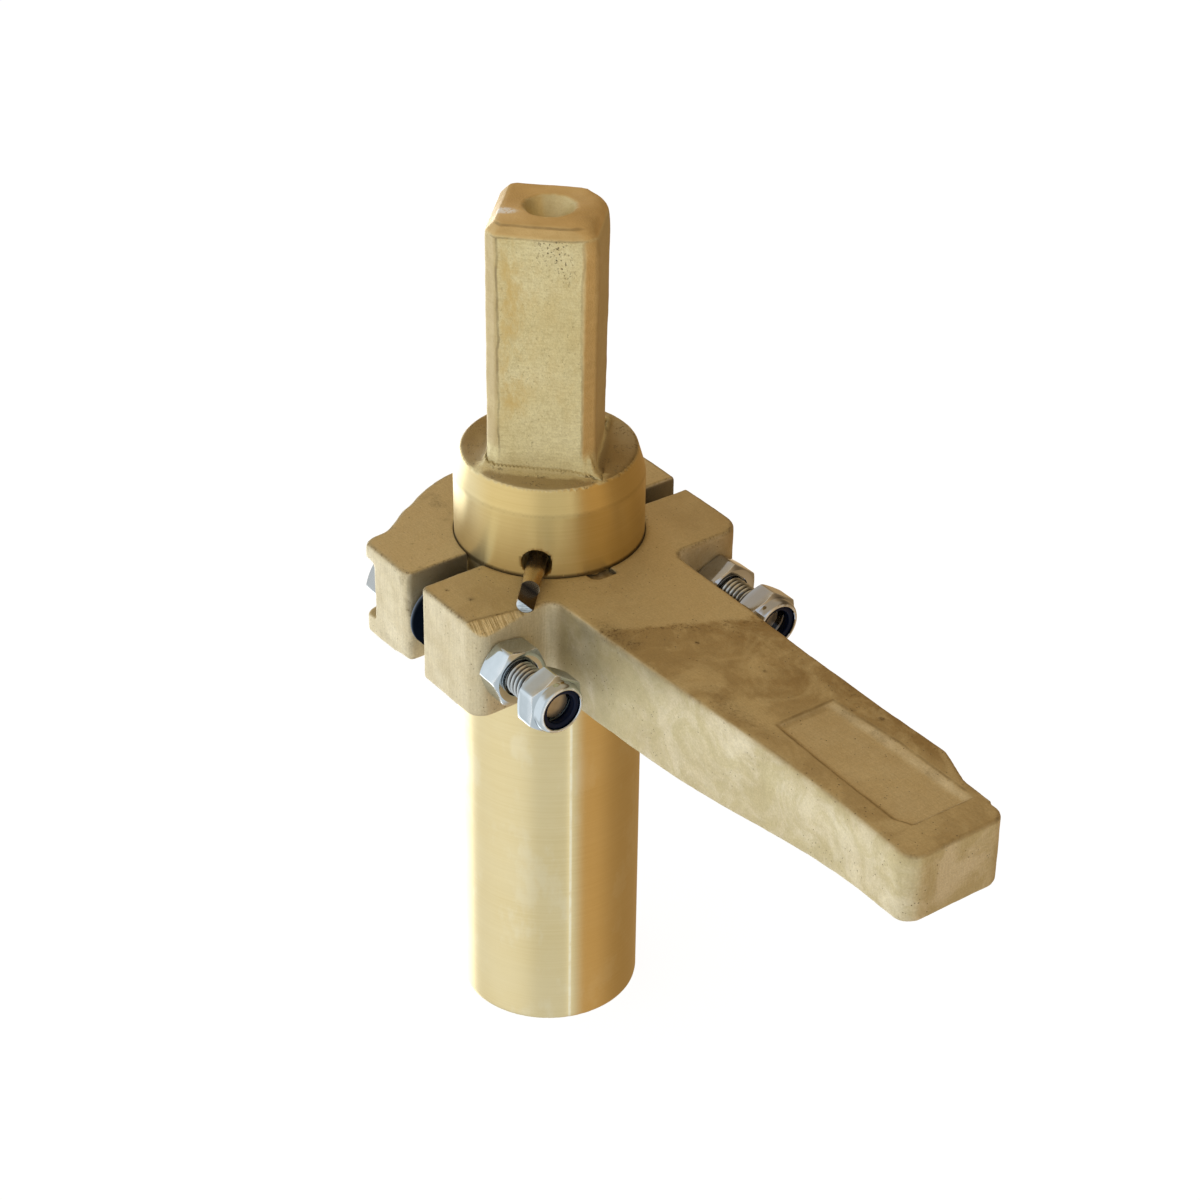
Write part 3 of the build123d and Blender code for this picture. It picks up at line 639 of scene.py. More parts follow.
# soft casting unevenness on the head and the disc
N = get_no(me)
cast_zone = np.maximum(head_zone, disc_zone * 1.0)
inner_hole = (r < 6.9) & (z > 50)
rim_out = (r > 5.75) & (r < 6.9) & (z > 80.2)
P[:, 2] = np.where(rim_out, 81.0, P[:, 2])
z = P[:, 2]
cone_z = 81.0 - (5.75 - r) * math.tan(math.radians(60))
in_cone = (r < 5.75) & (r > 2.6) & (z > 75.4) & (np.abs(z - cone_z) < 1.6)
P[:, 2] = np.where(in_cone, cone_z, P[:, 2])
z = P[:, 2]
cast_zone = cast_zone * np.where(inner_hole, 0, 1)
idx = np.where(cast_zone > 0.01)[0]
d = np.zeros(len(P))
d[idx] = 0.12 * nz(P[idx], 9.0, 3, 2) + 0.05 * nz(P[idx], 2.2, 5, 2)
P += N * (d * cast_zone)[:, None]
set_co(me, P)
z = P[:, 2]
r = np.hypot(P[:, 0], P[:, 1])
u = (P[:, 0] + P[:, 1]) * S2
v = (P[:, 0] - P[:, 1]) * S2
turned = ((z < 21.4) & (r > 17)).astype(float)
turned = np.maximum(turned, 0.35 * ((r < 5.78) & (z > 60) & (z < 80.98)))
headm = step(z, 21.6, 22.6) * np.where(r < 20.3, 1, 0) * np.where((r < 5.78) & (z > 60) & (z < 80.98), 0.4, 1)
discm = ((z > 20.9) & (z < 22.6) & (r < 20.9)).astype(float) * 0.85
skirt = ((z > 21.3) & (z < 23.4) & (v > 11)).astype(float) * (1 - step(np.maximum(np.abs(u), v) + 0.9 * nz(P, 2.6, 9, 3), 14.4, 15.6))
headm = np.maximum(headm, 0.85 * skirt)
discm *= 1 - 0.85 * skirt
wob = 0.25 * nz(P, 6.0, 8, 2)
filed = step(z + wob, 78.5, 79.0) * np.where((r < 5.78) & (z < 80.98), 0, 1)
# filed vertical corners on the two sides of the front face
for sgn in (-1, 1):
    t = (v + sgn * u) * S2
    filed = np.maximum(filed, step(t + wob * 0.5, 15.4, 15.9) * (0.45 if sgn < 0 else 1.0) * step(z, 26, 29))
filed = np.maximum(filed, 0.92 * step(u, 9.0, 9.6) * step(v, 8.8, 9.6) * step(z, 25, 28) * (1 - step(z, 78, 79)))
# the right face is browner
side_r = step(u, 11.6, 12.0) * step(z, 23, 26)
filed = np.maximum(filed, 0.35 * side_r)
discm = np.maximum(discm, 0.55 * side_r * (1 - step(z, 78, 79)))
facet_l = step((v - u) * S2 + wob * 0.5, 15.4, 15.9) * step(z, 26, 29) * (1 - step(z, 78, 79))
discm = np.maximum(discm, 0.55 * facet_l)
facet_r = step((v + u) * S2 + wob * 0.5, 15.4, 15.9) * step(z, 26, 29) * (1 - step(z, 78, 79))
discm = np.maximum(discm, 0.34 * facet_r * (1 - step(z, 42, 66)))
# dark lines at the shoulder and at the head's foot, and painted shade in a band where the stock enters the clamp
dirt = np.exp(-((z - 15.6) / 0.35) ** 2) * 0.25 * (r > 20)
dirt = np.maximum(dirt, 0.12 * np.exp(-(np.clip(z - 21.9, 0, 9) / 1.0) ** 2) * (z > 21.9) * (r < 18))
dirt = np.maximum(dirt, 0.5 * ((z > -0.6) & (z < 0.35)))
pitted = np.zeros(len(P))
front = step(v, 12.0, 12.3)
pitted = front * np.clip(1.25 * np.exp(-(((u - 2.6 - (78.0 - z) * 0.35) / 2.6) ** 2)) * step(z, 66.5, 76.5), 0, 1) * (1 - step(z, 78.4, 79.0))
pitted = np.maximum(pitted, 0.6 * ((z > 21.4) & (z < 22.6)) * (nz(P, 5.0, 11, 2) > 0.1))
# the gold band on the shoulder is a painted reflection of the brown clamp tops; it is left off towards the left edge,
# where a highlight stands
left_ = -0.566 * P[:, 0] - 0.824 * P[:, 1]
gold_reflection_zone = ((z > -0.2) & (z < 21.4) & (r > 17)) * (1 - 0.9 * step(left_, 12.5, 19.0))
headside = (z > 22.4) & (r > 8)
# painted shade where the stock goes into the clamp
dirt = np.maximum(dirt, 0.80 * ((z < 0.30) & (z > -0.8) & (r > 20)))
orange = front * (0.9 * np.exp(-(((u + 6.5) / 3.2) ** 2)) + 0.35) * step(z, 30, 40)
smear = 1.5 * step(z, 80.3, 80.8) * np.exp(-(((u + 9.2) / 2.4) ** 2 + ((v - 4.2) / 1.3) ** 2) ** 2)
for name_, val in (("turned", turned), ("head", headm), ("disc", discm), ("filed", filed),
                   ("dirt", dirt), ("pitted", pitted), ("smear", np.clip(smear, 0, 0.8)), ("orange", orange),
                   ("gold", gold_reflection_zone.astype(float)), ("headside", headside.astype(float))):
    set_attr(me, name_, val)
me.materials.append(M_STOCK)
hand_over(stock, ["rudder_stock"])

# ---------------------------------------------------------------------------
# tiller arm
# ---------------------------------------------------------------------------
arm = remeshed("tiller_arm", "arm_casting", 0.56)
me = arm.data
P = get_co(me)
N = get_no(me)
r = np.hypot(P[:, 0], P[:, 1])
bore = (r < 22.6) & (P[:, 0] > 3)
loose = np.where(bore, 0.0, 1.0)
d = 0.12 * nz(P, 14.0, 21, 2) + 0.05 * nz(P, 3.0, 23, 2)


def inside(px, py, poly):
    """Signed distance to a convex outline given anticlockwise, positive inside."""
    out = np.full(len(px), 1e9)
    for (x0, y0), (x1, y1) in zip(poly, poly[1:] + poly[:1]):
        ex, ey = x1 - x0, y1 - y0
        ln = math.hypot(ex, ey)
        out = np.minimum(out, ((px - x0) * -ey + (py - y0) * ex) / ln)
    return out


# bore's upper edge broken, as it is round the stock in use
rim = (r < 22.9) & (P[:, 0] > 4.9) & (P[:, 2] > -0.45)
P[:, 2] -= rim * 0.35 * np.clip((22.9 - r) / 0.8, 0, 1)
# the shallow panel near the arm's end keeps crisp borders: floor at -1 mm
top = (P[:, 2] > -1.7) & (P[:, 0] > 88) & (P[:, 0] < 137.5) & (np.abs(P[:, 1]) < 11) & (N[:, 2] > 0.3)
hi_ = [(91.6, -7.8), (99, -8.1), (116, -8.9), (130.5, -9.1), (134.2, -7.2), (134.6, 9.0), (112, 9.2), (91.6, 8.0)]
lo_ = [(92.6, -6.9), (99, -7.2), (116, -8.0), (130.2, -8.2), (133.2, -6.6), (133.4, 6.8), (112, 6.6), (92.6, 6.2)]
d_hi, d_lo = inside(P[:, 0], P[:, 1], hi_), inside(P[:, 0], P[:, 1], lo_)
depth = np.where(d_hi <= 0, 0.0, np.where(d_lo >= 0, 1.0, d_hi / np.maximum(d_hi - d_lo, 1e-6)))
P[:, 2] = np.where(top, -depth, P[:, 2])
P += N * (d * loose)[:, None]
set_co(me, P)
wob = 0.4 * nz(P, 5.0, 25, 2)
# filed chamfer on the left lug's upper front edge
nrm = Vector((3.8 / 3.3, 0.0, 1.0))
x_in = 22.4 + (P[:, 1] + 39.1) / 19.4 * 3.6
filed = step(P[:, 0] - x_in + wob * 0.3, -0.2, 0.3) * (1 - step(P[:, 0], 26.6, 27.2)) * step(-P[:, 1], 19.5, 21.5)
filed *= step(P[:, 2], -5.4, -4.6) * step(N[:, 2], 0.25, 0.5) * (1 - step(N[:, 2], 0.93, 0.99))
up = step(N[:, 2], 0.55, 0.9)
X, Y, Z_ = P[:, 0], P[:, 1], P[:, 2]
# patina: hub clean, brown from x 40 on, cleaner again in the panel
line = X - (50.1 + 0.5 * Y)
far_side = step(Y, -6, 12)
along = 0.48 + 0.22 * far_side * (1 - step(X, 100, 125)) - 0.12 * step(X, 84, 92)
along = along + 0.30 * step(Y - (9.0 + 0.012 * (X - 60)), 0.0, 3.5) * step(X, 58, 70)
worn = up * along * (1 - 0.70 * step(d_hi, -0.5, 0.8)) * 1.45
patina = 0.45 * up * step(-Y, 20, 26) * step(-nz(P, 9.0, 49, 3), -0.4, 0.3)
patina = np.maximum(patina, 0.38 * up * step(Y, 20, 27))
patina = np.maximum(patina, 0.85 * (1 - up) * step(N[:, 0], 0.3, 0.7) * step(Y, 17, 22) * (X < 32))
tan_ = up.copy()
flat = (Z_ > -1.9) & (Y > -10.5) & (Y < 11) & (X > 88) & (X < 137)
# painted light on the panel's far bevel, which faces the window, and a paler panel floor
bevel = step(d_hi, 0.0, 0.8) * (1 - step(d_lo, -0.7, 0.4)) * step(Y, 4.8, 6.0) * flat
set_attr(me, "pale", bevel + 0.28 * step(d_lo, -0.4, 0.4) * flat)
set_attr(me, "panel", flat * 1.0)
set_attr(me, "pd", np.clip(d_hi / 8.0 + 0.5, 0, 1))
edge = step(N[:, 2], 0.15, 0.45) * (1 - step(N[:, 2], 0.93, 0.995)) * step(X, 36, 44)
patina = np.maximum(patina, 0.55 * edge)
near_flank = (1 - up) * step(-N[:, 1], 0.3, 0.7) * step(X, 36, 44)
patina = np.maximum(patina, 0.62 * near_flank * np.exp(np.minimum(Z_, 0) / 1.9))
under = step(-N[:, 2], 0.1, 0.5)
patina = np.maximum(patina, 0.35 * under)
low_side = (1 - up) * step(X, 40, 60) * step(-Z_ - 0.22 * (150 - X) * 0.5, 0.0, 9.0)
patina = np.maximum(patina, 0.22 * low_side)
# painted shade on the arm's sides at the root, beside the lugs
root = (1 - up) * step(X, 24, 28) * (1 - step(X, 34, 52))
patina = np.maximum(patina, 0.30 * root)
patina = np.maximum(patina, 0.20 * (1 - up) * step(nz(P, 16.0, 35, 3), 0.0, 0.6))
stain = np.zeros(len(P))
stain = np.maximum(stain, 0.85 * np.exp(-(((X - 45) / 5.5) ** 2 + ((Y + 14.8) / 2.6) ** 2)) * step(Z_, -2.2, -0.5))
stain = np.maximum(stain, 0.5 * np.exp(-(((X - 83) / 9) ** 2 + ((Y + 11.5) / 2.4) ** 2)) * step(Z_, -1.5, -0.3))
stain = np.maximum(stain, 0.35 * edge * step(nz(P, 5.0, 37, 3), 0.1, 0.6))
# thin dark line along the lugs' upper edges, and specks down their corners
rim_l = step(N[:, 2], 0.30, 0.60) * (1 - step(N[:, 2], 0.965, 0.999)) * (1 - step(X, 26, 34)) * (np.hypot(X, Y) > 23.6)
rim_l = rim_l * step(Z_, -2.5, -1.0) * (1 - np.clip(filed, 0, 1))
stain = np.maximum(stain, 0.70 * rim_l)
set_attr(me, "filed", filed)
wedge_line = 1.5 * np.exp(-((X - x_in + 0.15) / 0.45) ** 2) * step(-Y, 22.5, 30.0) * (Z_ > -1.2) * up
stain = np.maximum(stain, 0.85 * wedge_line)
for px, py, pr in ((15.2, -32.1, 0.42), (9.0, -34.4, 0.30), (103.1, 11.7, 0.42), (97.0, 8.9, 0.3),
                   (42.4, -16.2, 0.9), (50.6, -14.0, 1.5), (58.0, -2.0, 0.35), (75.0, 3.0, 0.3)):
    stain = np.maximum(stain, (2.4 if pr < 0.5 else 1.0) * np.exp(-((X - px) ** 2 + (Y - py) ** 2) / (pr * pr * 1.5)) * up)
# shadow line round the stock, and the hub's keyway
R_ = np.hypot(X, Y)
shadow = np.zeros(len(P))
shadow = np.maximum(shadow, 0.9 * ((X > 22.0) & (X < 25.3) & (Y > -5.5) & (Y < 1.15) & (Z_ < -0.25)))
set_attr(me, "shadow", shadow)
set_attr(me, "stain", np.clip(stain, 0, 2.4))
patina = np.maximum(patina, 0.30 * up * step(-Y, 17.0, 25.0) * (X < 27))
patina = patina * (1 - 0.28 * up * step(X, 118, 132))
patina = np.maximum(patina, 0.20 * (1 - step(R_, 24.0, 34.0)) * step(-N[:, 0], 0.3, 0.7) * (Y > 0))
patina = np.maximum(patina, 0.24 * step(Y, 20.0, 24.0) * (X < 27) * step(N[:, 0], 0.3, 0.7))
set_attr(me, "patina", np.clip(patina, 0, 1))
set_attr(me, "worn", np.clip(worn, 0, 1))
set_attr(me, "topface", up * (1 - step(d_hi, -1.5, 0.0)))
set_attr(me, "line", np.clip(line / 24.0 + 0.5, 0, 1))
# painted shade on the flanks next to the lugs, strongest at the top and fading downwards
smoke = (1 - up) * step(-N[:, 1], 0.0, 0.5) * step(X, 27.0, 30.5) * (1 - step(X, 36, 55)) * (0.30 + 0.45 * np.exp(np.minimum(Z_, 0) / 9.0))
smoke = np.maximum(smoke, 0.75 * near_flank * np.exp(np.minimum(Z_, 0) / 3.2) * (1 - step(X, 58, 80)))
set_attr(me, "smoke", smoke)
flank = (1 - up) * step(X, 26.5, 32)
set_attr(me, "tan", tan_)
set_attr(me, "khaki", np.clip(0.8 * flank, 0, 1))
set_attr(me, "brush", np.where(X < 27, 1.0, 0.0) * (1 - np.abs(N[:, 2])))
me.materials.append(M_CAST)
hand_over(arm, ["tiller_arm"])

# ---------------------------------------------------------------------------
# rear half of the clamp
# ---------------------------------------------------------------------------
rear = remeshed("rear_clamp", "rear_casting", 0.45)
me = rear.data
P = get_co(me)
# lower corners of the lugs worn round
edges_ = np.empty(len(me.edges) * 2, np.int64)
me.edges.foreach_get("vertices", edges_)
edges_ = edges_.reshape(-1, 2)
near = (1 - step(P[:, 2], -21.5, -19.0)) * step(P[:, 0], -8.0, -5.0) * step(np.abs(P[:, 1]), 24.0, 26.0)
near = np.maximum(near, step(np.abs(P[:, 1]), 37.2, 38.2) * step(P[:, 0], -3.6, -2.6) * 0.9)
pick = (near[edges_[:, 0]] > 0) | (near[edges_[:, 1]] > 0)
ea, eb = edges_[pick, 0], edges_[pick, 1]
cnt = np.bincount(ea, minlength=len(P)) + np.bincount(eb, minlength=len(P))
for _ in range(30):
    acc = np.zeros_like(P)
    for c_ in range(3):
        acc[:, c_] = np.bincount(ea, P[eb, c_], minlength=len(P)) + np.bincount(eb, P[ea, c_], minlength=len(P))
    P += (acc / np.maximum(cnt, 1)[:, None] - P) * (near * 0.6 * (cnt > 0))[:, None]
set_co(me, P)
N = get_no(me)
r = np.hypot(P[:, 0], P[:, 1])
loose = np.where((r < 22.5), 0.0, 1.0)
d = 0.13 * nz(P, 12.0, 41, 2) + 0.05 * nz(P, 3.0, 43, 2)
P += N * (d * loose)[:, None]
set_co(me, P)
set_attr(me, "filed", np.zeros(len(P)))
N = get_no(me)
up = step(N[:, 2], 0.55, 0.9)
set_attr(me, "patina", 0.16 * (1 - up) * step(nz(P, 14.0, 47, 3), 0.0, 0.6))
set_attr(me, "tan", 0.9 * up)
set_attr(me, "khaki", np.zeros(len(P)))
set_attr(me, "brush", np.where(P[:, 1] < -36, 1.0, 0.0) * (1 - np.abs(N[:, 2])))
stain = 0.4 * step(nz(P, 6.0, 45, 3), 0.35, 0.75)
R_ = np.hypot(P[:, 0], P[:, 1])
shadow = np.zeros(len(P))
shadow = np.maximum(shadow, 0.85 * (N[:, 0] > 0.6) * (P[:, 1] > 15) * (R_ > 22.3) * step(-P[:, 2], 0.1, 0.8))
shadow = np.maximum(shadow, 0.80 * step(N[:, 0], 0.4, 0.8) * (P[:, 1] < -15) * (R_ > 22.3) * (0.60 + 0.40 * step(P[:, 1], -38, -24)) * step(P[:, 2] + 0.35 * (P[:, 1] + 22), -23, -6))
set_attr(me, "shadow", shadow)
for nm in ("worn", "topface", "line", "smoke", "pale", "panel", "pd"):
    set_attr(me, nm, np.zeros(len(P)))
for px, py, pr in ((-2.4, -34.1, 0.35), (-7.7, -28.1, 0.3), (-12.0, -30.0, 0.25)):
    stain = np.maximum(stain, 1.0 * np.exp(-((P[:, 0] - px) ** 2 + (P[:, 1] - py) ** 2) / (pr * pr)) * up)
rim_r = step(N[:, 2], 0.30, 0.60) * (1 - step(N[:, 2], 0.965, 0.999)) * (np.hypot(P[:, 0], P[:, 1]) > 23.6) * step(P[:, 2], -2.5, -1.0)
stain = np.maximum(stain, 0.65 * rim_r)
corner = step(N[:, 0], 0.15, 0.40) * (1 - step(N[:, 0], 0.90, 0.985)) * (P[:, 1] < -36.5) * (1 - step(N[:, 2], 0.2, 0.5))
stain = np.maximum(stain, 0.85 * corner * step(nz(P, 3.0, 61, 3), -0.15, 0.35))
set_attr(me, "stain", stain)
me.materials.append(M_CAST)
hand_over(rear, ["rear_clamp"])


# ---------------------------------------------------------------------------
# fasteners: each is a stack of rings (distance along +X, radius per angle)
# ---------------------------------------------------------------------------
def hex_r(th, corner_deg, af=13.0, rc=7.38, k=9.0):
    f = (np.degrees(th) - corner_deg) % 60.0 - 30.0
    R = af / 2 / np.cos(np.radians(f))
    return -np.log(np.exp(-k * R) + np.exp(-k * rc)) / k


def stack(name, rings, at, n, closed=False, caps=(True, True), angle=28.0):
    """rings: list of (t array or number, r array or number). Closed joins the last ring to the first."""
    th = np.arange(n) * 2 * math.pi / n
    V, F = [], []
    for t, r_ in rings:
        t = np.broadcast_to(np.asarray(t, float), (n,))
        r_ = np.broadcast_to(np.asarray(r_, float), (n,))
        V.append(np.stack([at[0] + t, at[1] + r_ * np.cos(th), at[2] + r_ * np.sin(th)], 1))
    V = np.concatenate(V)
    rows = len(rings)
    last = rows if closed else rows - 1
    for i in range(last):
        a, b = i * n, ((i + 1) % rows) * n
        for j in range(n):
            k = (j + 1) % n
            F.append((a + j, a + k, b + k, b + j))
    if not closed:
        if caps[0]:
            F.append(tuple(range(n))[::-1])
        if caps[1]:
            F.append(tuple((rows - 1) * n + j for j in range(n)))
    return make_object(name, V, F, angle)


T30 = math.tan(math.radians(30))


def angles(n):
    return np.arange(n) * 2 * math.pi / n


def chamfered(R, face_t, sign, r0=6.15, steps=4):
    """Rings from the flat face at face_t out over the 30 degree chamfer to the flank."""
    out = []
    for s in np.linspace(0, 1, steps):
        rr = r0 + (R - r0) * s * 0.985
        out.append((face_t - sign * np.maximum(rr - r0, 0) * T30, rr))
    edge = face_t - sign * np.maximum(R - r0, 0) * T30
    out.append((edge - sign * 0.05, R - 0.015))
    out.append((edge - sign * 0.16, R))
    return out


def hex_nut(name, x0, y, zc, h, corner, n=192, bore=4.03, washer_side=False):
    th = angles(n)
    R = hex_r(th, corner)
    rings = [(0.55, bore), (0.05, 4.5), (0.0, 4.62)]
    rings += chamfered(R, 0.0, -1)
    rings += [(h * 0.35, R), (h * 0.65, R)]
    rings += chamfered(R, h, 1)[::-1]
    rings += [(h, 4.62), (h - 0.05, 4.5), (h - 0.55, bore), (h / 2, bore)]
    return stack(name, rings, (x0, y, zc), n, closed=True, angle=24)


def lock_nut(name, x0, y, zc, corner, n=192):
    th = angles(n)
    R = hex_r(th, corner)
    hh = 5.7
    rings = [(0.55, 4.03), (0.05, 4.5), (0.0, 4.62)]
    rings += chamfered(R, 0.0, -1)
    rings += [(1.9, R), (3.6, R)]
    rings += chamfered(R, hh, 1, r0=6.25)[::-1]
    # collar, rolled over the ring
    rings += [(hh + 0.12, 6.12), (hh + 0.45, 6.06), (hh + 0.9, 6.04), (hh + 1.3, 5.98),
              (hh + 1.7, 5.84), (hh + 2.0, 5.62), (hh + 2.2, 5.36), (hh + 2.29, 5.12),
              (hh + 2.26, 4.95), (hh + 2.12, 4.86), (hh + 1.9, 4.86), (hh + 1.75, 4.95)]
    rings += [(5.35, 4.95), (5.1, 4.4), (5.0, 4.03), (2.5, 4.03)]
    return stack(name, rings, (x0, y, zc), n, closed=True, angle=24)


def insert_ring(name, x0, y, zc, n=96):
    a, b, lo, hi = 3.62, 4.92, 5.25, 7.42
    rings = [(lo, a + 0.3), (lo, b - 0.1), (lo + 0.1, b), (hi - 0.35, b)]
    for q in np.linspace(0, 1, 9):
        ang = math.pi * q
        rr = (a + b) / 2 + (b - a) / 2 * math.cos(ang)
        rings.append((hi - 0.3 + 0.34 * math.sin(ang), rr))
    rings += [(hi - 0.6, a), (6.2, a), (lo + 0.2, a + 0.1)]
    return stack(name, rings, (x0, y, zc), n, closed=True, angle=40)


def paint_edge_highlights(o, x0, y, zc, corner, h, r0, lips=()):
    """Painted highlight: a bright line where the outer chamfer meets the flanks, and on the given lips."""
    co = get_co(o.data)
    t = co[:, 0] - x0
    dy, dz = co[:, 1] - y, co[:, 2] - zc
    rad = np.hypot(dy, dz)
    R = hex_r(np.arctan2(dz, dy), corner)
    cut = h - np.maximum(R - r0, 0) * T30
    e = np.exp(-((t - cut + 0.06) / 0.10) ** 2) * (rad > R - 0.16)
    for lt, lr in lips:
        e = np.maximum(e, np.exp(-(((t - lt) / 0.12) ** 2 + ((rad - lr) / 0.12) ** 2)))
    set_attr(o.data, "edge", np.clip(e, 0, 1))


def spacer_mesh(name, x0, y, zc, R, c, length=6.1, n=160):
    rings = [(0.0, 4.2), (0.0, R - c - 0.12), (0.05, R - c), (c - 0.06, R - 0.07), (c + 0.1, R),
             (length / 2, R), (length - 0.35, R), (length - 0.1, R - 0.1), (length, R - 0.35), (length, 4.2)]
    return stack(name, rings, (x0, y, zc), n, closed=True, angle=28)


def bolt_mesh(name, x0, y, zc, corner, end_x, n=80):
    """Head towards -X, shank and thread towards +X; x0 is the bearing face."""
    th = angles(n)
    R = hex_r(th, corner)
    L = end_x - x0
    H = 5.3
    rings = [(-H + 0.0, 0.4), (-H, 3.0), (-H, 5.6)]
    rings += chamfered(R, -H, -1)
    rings += [(-2.2, R), (-0.12, R), (0.0, R - 0.1), (0.0, 4.4), (0.25, 4.0)]
    start = 13.0
    rings += [(4.0, 3.98), (start - 0.6, 3.98)]
    p, rows = 1.25, 12
    ts = np.arange(start, L - 0.02, p / rows)
    for t in ts:
        ph = ((t / p) - th / (2 * math.pi)) % 1.0
        tri = np.abs(ph - 0.5) * 2.0
        prof = np.clip((tri - 0.12) / 0.76, 0, 1)
        depth = 0.64 * min(1.0, (t - start) / 1.5)
        rr = 3.98 - depth * prof
        lim = 3.98 - max(0.0, t - (L - 0.9)) * 0.95
        rings.append((t, np.minimum(rr, lim)))
    rings += [(L - 0.02, 3.05), (L + 0.0, 2.95), (L - 0.02, 1.6), (L - 0.05, 0.4)]
    o = stack(name, rings, (x0, y, zc), n, closed=False, angle=28)
    # the thread shades smoothly; only the head and the end keep sharp edges
    me = o.data
    at = me.attributes.get("sharp_edge")
    co = get_co(me)
    for e in me.edges:
        a, b = e.vertices
        if x0 + 10 < min(co[a, 0], co[b, 0]) and max(co[a, 0], co[b, 0]) < x0 + L - 0.3:
            at.data[e.index].value = False
    rad = np.hypot(co[:, 1] - y, co[:, 2] - zc)
    t = co[:, 0] - x0
    # painted shade in the thread's grooves and at its run-out inside the nut; a darker tone on the head
    groove = np.clip((3.98 - rad) / 0.64, 0, 1) * ((t > start) & (t < L - 0.75))
    groove = np.maximum(groove, 0.42 * (t < 0.3))
    set_attr(me, "groove", np.maximum(groove, 0.75 * ((t >= L - 0.85) & (t < L - 0.1))))
    set_attr(me, "tip", (t > L - 0.12).astype(float))
    return o


BOLTS = {"left": dict(y=-30.6, lock=39.8, bolt=2.0, nut=-8.0, nyl=26.0, sr=8.0, sc=1.2),
         "right": dict(y=28.6, lock=41.2, bolt=2.0, nut=22.0, nyl=26.0, sr=6.3, sc=0.6)}
ZB = -12.2
for side, b in BOLTS.items():
    o = bolt_mesh(f"bolt_{side}", -15.0, b["y"], ZB, b["bolt"], 45.0)
    o.data.materials.append(M_BOLT)
    hand_over(o, [f"clamp_bolt_{side}"])
    o = spacer_mesh(f"spacer_{side}", -1.2, b["y"], ZB, b["sr"], b["sc"])
    o.data.materials.append(M_SPACER)
    co = get_co(o.data)
    rad = np.hypot(co[:, 1] - b["y"], co[:, 2] - ZB)
    # painted highlight along the spacer's chamfered rim and face edge
    rim = 1.0 * (np.abs(co[:, 0] + 1.2 - b["sc"]) < 0.12) * (rad > b["sr"] - 0.2)
    set_attr(o.data, "rim", np.maximum(rim, 0.8 * (np.abs(co[:, 0] + 1.15) < 0.03) * (rad > b["sr"] - b["sc"] - 0.05)))
    hand_over(o, [f"gap_spacer_{side}"])
    o = hex_nut(f"plain_nut_{side}", 26.0, b["y"], ZB, 6.5, b["nut"])
    o.data.materials.append(M_STEEL if side == "left" else M_STEEL_SHADED)
    paint_edge_highlights(o, 26.0, b["y"], ZB, b["nut"], 6.5, 6.15)
    hand_over(o, [f"clamp_nut_{side}"])
    o = lock_nut(f"locking_nut_{side}", b["lock"], b["y"], ZB, b["nyl"])
    o.data.materials.append(M_STEEL if side == "left" else M_STEEL_SHADED)
    paint_edge_highlights(o, b["lock"], b["y"], ZB, b["nyl"], 5.7, 6.25, ((7.98, 5.12), (7.9, 5.36)))
    hand_over(o, [f"lock_nut_{side}"])
    o = insert_ring(f"nylon_ring_{side}", b["lock"], b["y"], ZB)
    o.data.materials.append(M_NYLON)
    hand_over(o, [f"lock_insert_{side}"])


# ---------------------------------------------------------------------------
# retaining pin with its half-lap end
# ---------------------------------------------------------------------------
def pin_mesh():
    n = 64
    roll = math.radians(38.0)
    th = angles(n)
    R = 2.25
    c, s = np.cos(th), np.sin(th)
    rows = []

    def full(t, rr):
        rows.append((t, rr * c, rr * s))

    def half(t, rr):
        # local b is up before the roll: the upper half is filed away
        rows.append((t, rr * c, np.minimum(rr * s, 0.0)))

    full(12.0, 1.75)
    full(12.5, R)
    full(20.0, R)
    full(30.3, R)
    full(30.8, R - 0.01)
    half(30.82, R - 0.01)
    half(31.2, R)
    half(34.0, R)
    half(37.05, R)
    half(37.25, R - 0.15)
    half(37.3, R - 0.35)
    V = []
    a = math.radians(-43.6)
    e = Vector((math.cos(a), math.sin(a), 0))
    side = Vector((-math.sin(a), math.cos(a), 0))
    for t, p, q in rows:
        # roll the section about the pin, flat turned towards the viewer's right
        pr = p * math.cos(roll) + q * math.sin(-roll) * -1.0 * 0 + q * math.sin(roll) * 1.0 * 0
        ca, sa = math.cos(-roll), math.sin(-roll)
        pp = p * ca - q * sa
        qq = p * sa + q * ca
        for i in range(n):
            w = e * t + side * pp[i] + Vector((0, 0, 2.25 + qq[i]))
            V.append((w.x, w.y, w.z))
    F = []
    k = len(rows)
    for i in range(k - 1):
        for j in range(n):
            jj = (j + 1) % n
            F.append((i * n + j, i * n + jj, (i + 1) * n + jj, (i + 1) * n + j))
    F.append(tuple(range(n))[::-1])
    F.append(tuple((k - 1) * n + j for j in range(n)))
    o = make_object("pin_half_lap", V, F, 30)
    cut = np.zeros(len(o.data.vertices))
    cut[-n:] = 1.0
    set_attr(o.data, "cut", cut)
    lap = np.zeros((k, n))
    lap[5:, :] = (s > 0.02)[None, :]
    lap[-1, :] = 0.0
    set_attr(o.data, "lap", lap.ravel())
    return o


o = pin_mesh()
o.data.materials.append(M_PIN)
hand_over(o, ["retaining_pin"])

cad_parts["stock_key"].data.materials.clear()
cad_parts["stock_key"].data.materials.append(M_KEY)

